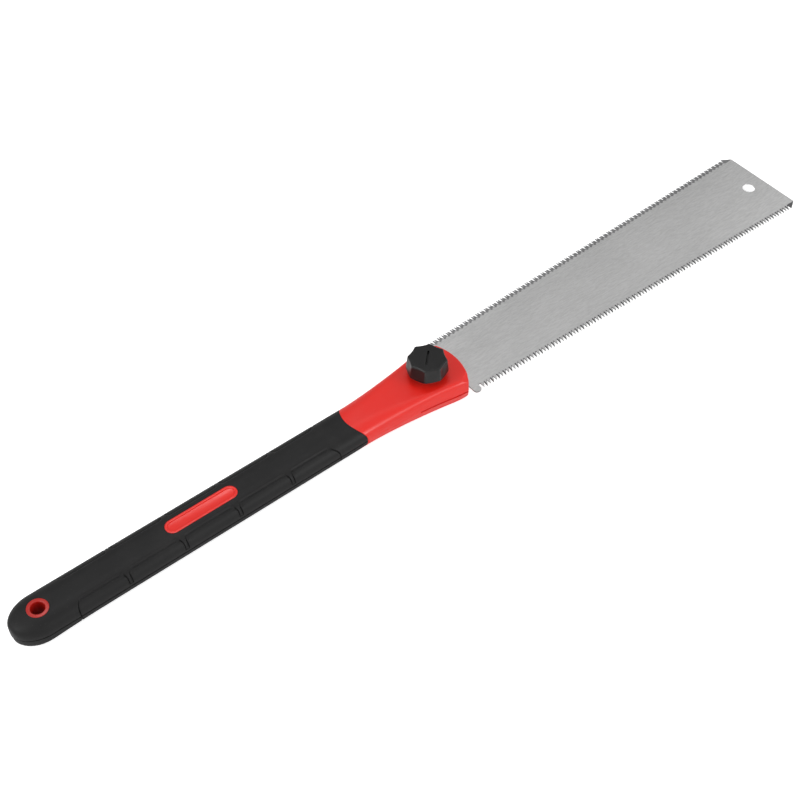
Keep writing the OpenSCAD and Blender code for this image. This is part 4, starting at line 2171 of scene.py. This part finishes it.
# Darker red for the hang ring: painted shade that stands in for the shade in its recess.
SHADED_RING_RED = replace(
    RED,
    name="painted_shade_ring_red",
    colour=(0.42, 0.0095, 0.0055),
    deep=(0.39, 0.0088, 0.0050),
)
RUBBER = MouldedPlastic(
    name="overmoulded_rubber",
    colour=(0.0054, 0.0054, 0.0056),
    deep=(0.0043, 0.0043, 0.0045),
    worn=(0.03, 0.03, 0.03),
    dust=(0.22, 0.21, 0.2),
    roughness=0.52,
    specular=0.3,
    grain=2600.0,
    grain_height=0.010,
    flow_height=0.02,
    dust_share=0.10,
    wear_share=0.3,
)
KNOB_BLACK = MouldedPlastic(
    name="moulded_black",
    colour=(0.0050, 0.0049, 0.0052),
    deep=(0.0042, 0.0041, 0.0044),
    worn=(0.05, 0.05, 0.05),
    dust=(0.25, 0.24, 0.23),
    roughness=0.30,
    specular=0.4,
    grain=2400.0,
    grain_height=0.008,
    flow_height=0.02,
    dust_share=0.08,
    wear_share=0.35,
)
BLADE_STEEL = GroundSteel(
    name="ground_blade_steel",
    colour=(0.79, 0.79, 0.787),
    dark=(0.57, 0.57, 0.567),
    roughness=0.36,
    lines=2000.0,
    line_len=0.13,
    line_height=0.001,
    contrast=0.75,
)
# Dark steel on the teeth: painted shade and dark reflection, darker than the steel itself.
SHADED_TOOTH_STEEL = GroundSteel(
    name="painted_shade_tooth_steel",
    colour=(0.18, 0.18, 0.184),
    dark=(0.115, 0.115, 0.118),
    roughness=0.42,
    lines=4000.0,
    line_len=1.0,
    line_height=0.001,
    contrast=0.5,
)
# Hardened crosscut teeth: darker partly from their own hardening oxide and partly with painted
# shade.
HARD_SHADED_STEEL = replace(
    SHADED_TOOTH_STEEL,
    name="hardened_shaded_tooth_steel",
    colour=(0.36, 0.36, 0.364),
    dark=(0.25, 0.25, 0.254),
)
PLATED_STEEL = GroundSteel(
    name="plated_steel",
    colour=(0.72, 0.72, 0.73),
    dark=(0.55, 0.55, 0.56),
    roughness=0.24,
    lines=3000.0,
    line_len=0.5,
    line_height=0.002,
    contrast=0.5,
)


@dataclass(frozen=True)
class Softbox:
    """Large soft lamp of the studio."""

    name: str
    at: Point
    towards: Point
    size: float
    power: float

    def hang(self) -> None:
        """Hangs the lamp."""
        data = bpy.data.lights.new(self.name, "AREA")
        data.shape = "DISK"
        data.size = self.size
        data.energy = self.power
        lamp = bpy.data.objects.new(self.name, data)
        bpy.context.scene.collection.objects.link(lamp)
        lamp.location = self.at
        lamp.rotation_mode = "QUATERNION"
        lamp.rotation_quaternion = (Vector(self.towards) - Vector(self.at)).to_track_quat("-Z", "Y")


@dataclass
class Studio:
    """Pale floor, soft light and the camera."""

    camera_at: Point = (-0.36559, -0.4183, 0.61721)
    heading_deg: float = 51.122
    pitch_deg: float = 48.629
    lens: float = 64.71
    sensor: float = 36.0
    floor_half: float = 6.0
    sky_near: float = 0.9
    sky_far: float = 0.445
    sky_turn: float = 0.9

    def build(self) -> None:
        """Sets up the floor, the sky, the lamps and the camera."""
        self.floor()
        self.dome()
        for lamp in (
            Softbox("far_key", (0.1138, 0.5352, 1.5035), (0.0, 0.0, 0.0), 0.45, 3.2),
            Softbox("near_right", (0.67, -1.17, 0.78), (0.0, 0.0, 0.0), 0.6, 6.4),
            Softbox("left_fill", (-1.1839, 0.3172, 1.0285), (0.0, 0.0, 0.0), 0.8, 6.0),
            Softbox("toe_fill", (1.221, 0.1068, 1.0285), (0.0, 0.0, 0.0), 0.8, 1.2),
        ):
            lamp.hang()
        scene = bpy.context.scene
        scene.view_settings.view_transform = "Standard"
        scene.view_settings.look = "None"
        self.camera()

    def dome(self) -> None:
        """Hangs an even white dome round the saw, dimmer beyond its far side."""
        world = bpy.data.worlds.new("studio")
        world.use_nodes = True
        graph = Graph(world.node_tree)
        turn = math.radians(self.heading_deg)
        way = graph.add("TexCoord").outputs["Generated"]
        heading = (math.cos(turn), math.sin(turn), 0.0)
        beyond = graph.add("VectorMath", {"0": way, "1": heading}, operation="DOT_PRODUCT")
        beyond_share, edge = beyond.outputs["Value"], self.sky_turn
        level = graph.ramp(beyond_share, -edge, edge, self.sky_near, self.sky_far)
        background = world.node_tree.nodes["Background"]
        background.inputs["Color"].default_value = (1.0, 1.0, 1.0, 1.0)
        world.node_tree.links.new(level, background.inputs["Strength"])
        bpy.context.scene.world = world

    def floor(self) -> None:
        """Lays the floor under the saw."""
        half = self.floor_half
        mesh = bpy.data.meshes.new("studio_floor")
        corners_xy = ((-half, -half), (half, -half), (half, half), (-half, half))
        mesh.from_pydata([(x, y, 0) for x, y in corners_xy], [], [(0, 1, 2, 3)])
        floor = bpy.data.objects.new("studio_floor", mesh)
        bpy.context.scene.collection.objects.link(floor)
        mesh.materials.append(FloorPaint("floor_paint").material())
        floor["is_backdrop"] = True

    def camera(self) -> None:
        """Stands the camera on the near side of the butt."""
        data = bpy.data.cameras.new("camera")
        data.lens = self.lens
        data.sensor_width = self.sensor
        data.clip_start, data.clip_end = 0.01, 50.0
        camera = bpy.data.objects.new("camera", data)
        bpy.context.scene.collection.objects.link(camera)
        camera.location = self.camera_at
        turn, tilt = math.radians(self.heading_deg), math.radians(self.pitch_deg)
        level = math.cos(tilt)
        look = Vector((math.cos(turn) * level, math.sin(turn) * level, -math.sin(tilt)))
        camera.rotation_mode = "QUATERNION"
        camera.rotation_quaternion = look.to_track_quat("-Z", "Y")
        bpy.context.scene.camera = camera


def dress_node(node: str, finish: Finish, slot: Slot, bevel_mm: float) -> None:
    """Gives a CAD node its material and softens its edges.

    Args:
        node: Name of the node.
        finish: Its finish.
        slot: The record's slot that it takes its finish from.
        bevel_mm: Width of the softened edges.
    """
    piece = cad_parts[node]
    coat(piece, finish, slot)
    bevel = piece.modifiers.new("soft_edges", "BEVEL")
    bevel.width = bevel_mm * MM
    bevel.segments = 3
    bevel.limit_method = "ANGLE"
    bevel.angle_limit = math.radians(40)
    split = piece.modifiers.new("crisp_edges", "EDGE_SPLIT")
    split.split_angle = math.radians(35)
    LOG.info("%s: carried over from the frame", node)


def corners() -> list[list[float]]:
    """The lowest and highest corner of what shows."""
    return [list(corner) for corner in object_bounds()]


def main() -> None:
    """Builds the saw's pieces and the studio."""
    logging.basicConfig(level=logging.INFO, format="%(name)s: %(message)s")
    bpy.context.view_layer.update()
    Studio().build()
    form = HandleForm()
    moulding = HandleMoulding(form)
    moulding.build(RED, SHADED_RING_RED)
    RubberSleeve(
        form,
        PadGrooves(),
        moulding.window,
        moulding.window_face,
        moulding.hang_s,
        moulding.hang_ring_r,
    ).build(RUBBER)
    KnobShell().build(KNOB_BLACK)
    Fasteners().build(PLATED_STEEL)
    BladePlate(form).build(BLADE_STEEL, SHADED_TOOTH_STEEL, HARD_SHADED_STEEL)
    dress_node("clamp_washer", PLATED_STEEL, Slot.FASTENER_STEEL, 0.25)


if __name__ == "__main__":
    main()
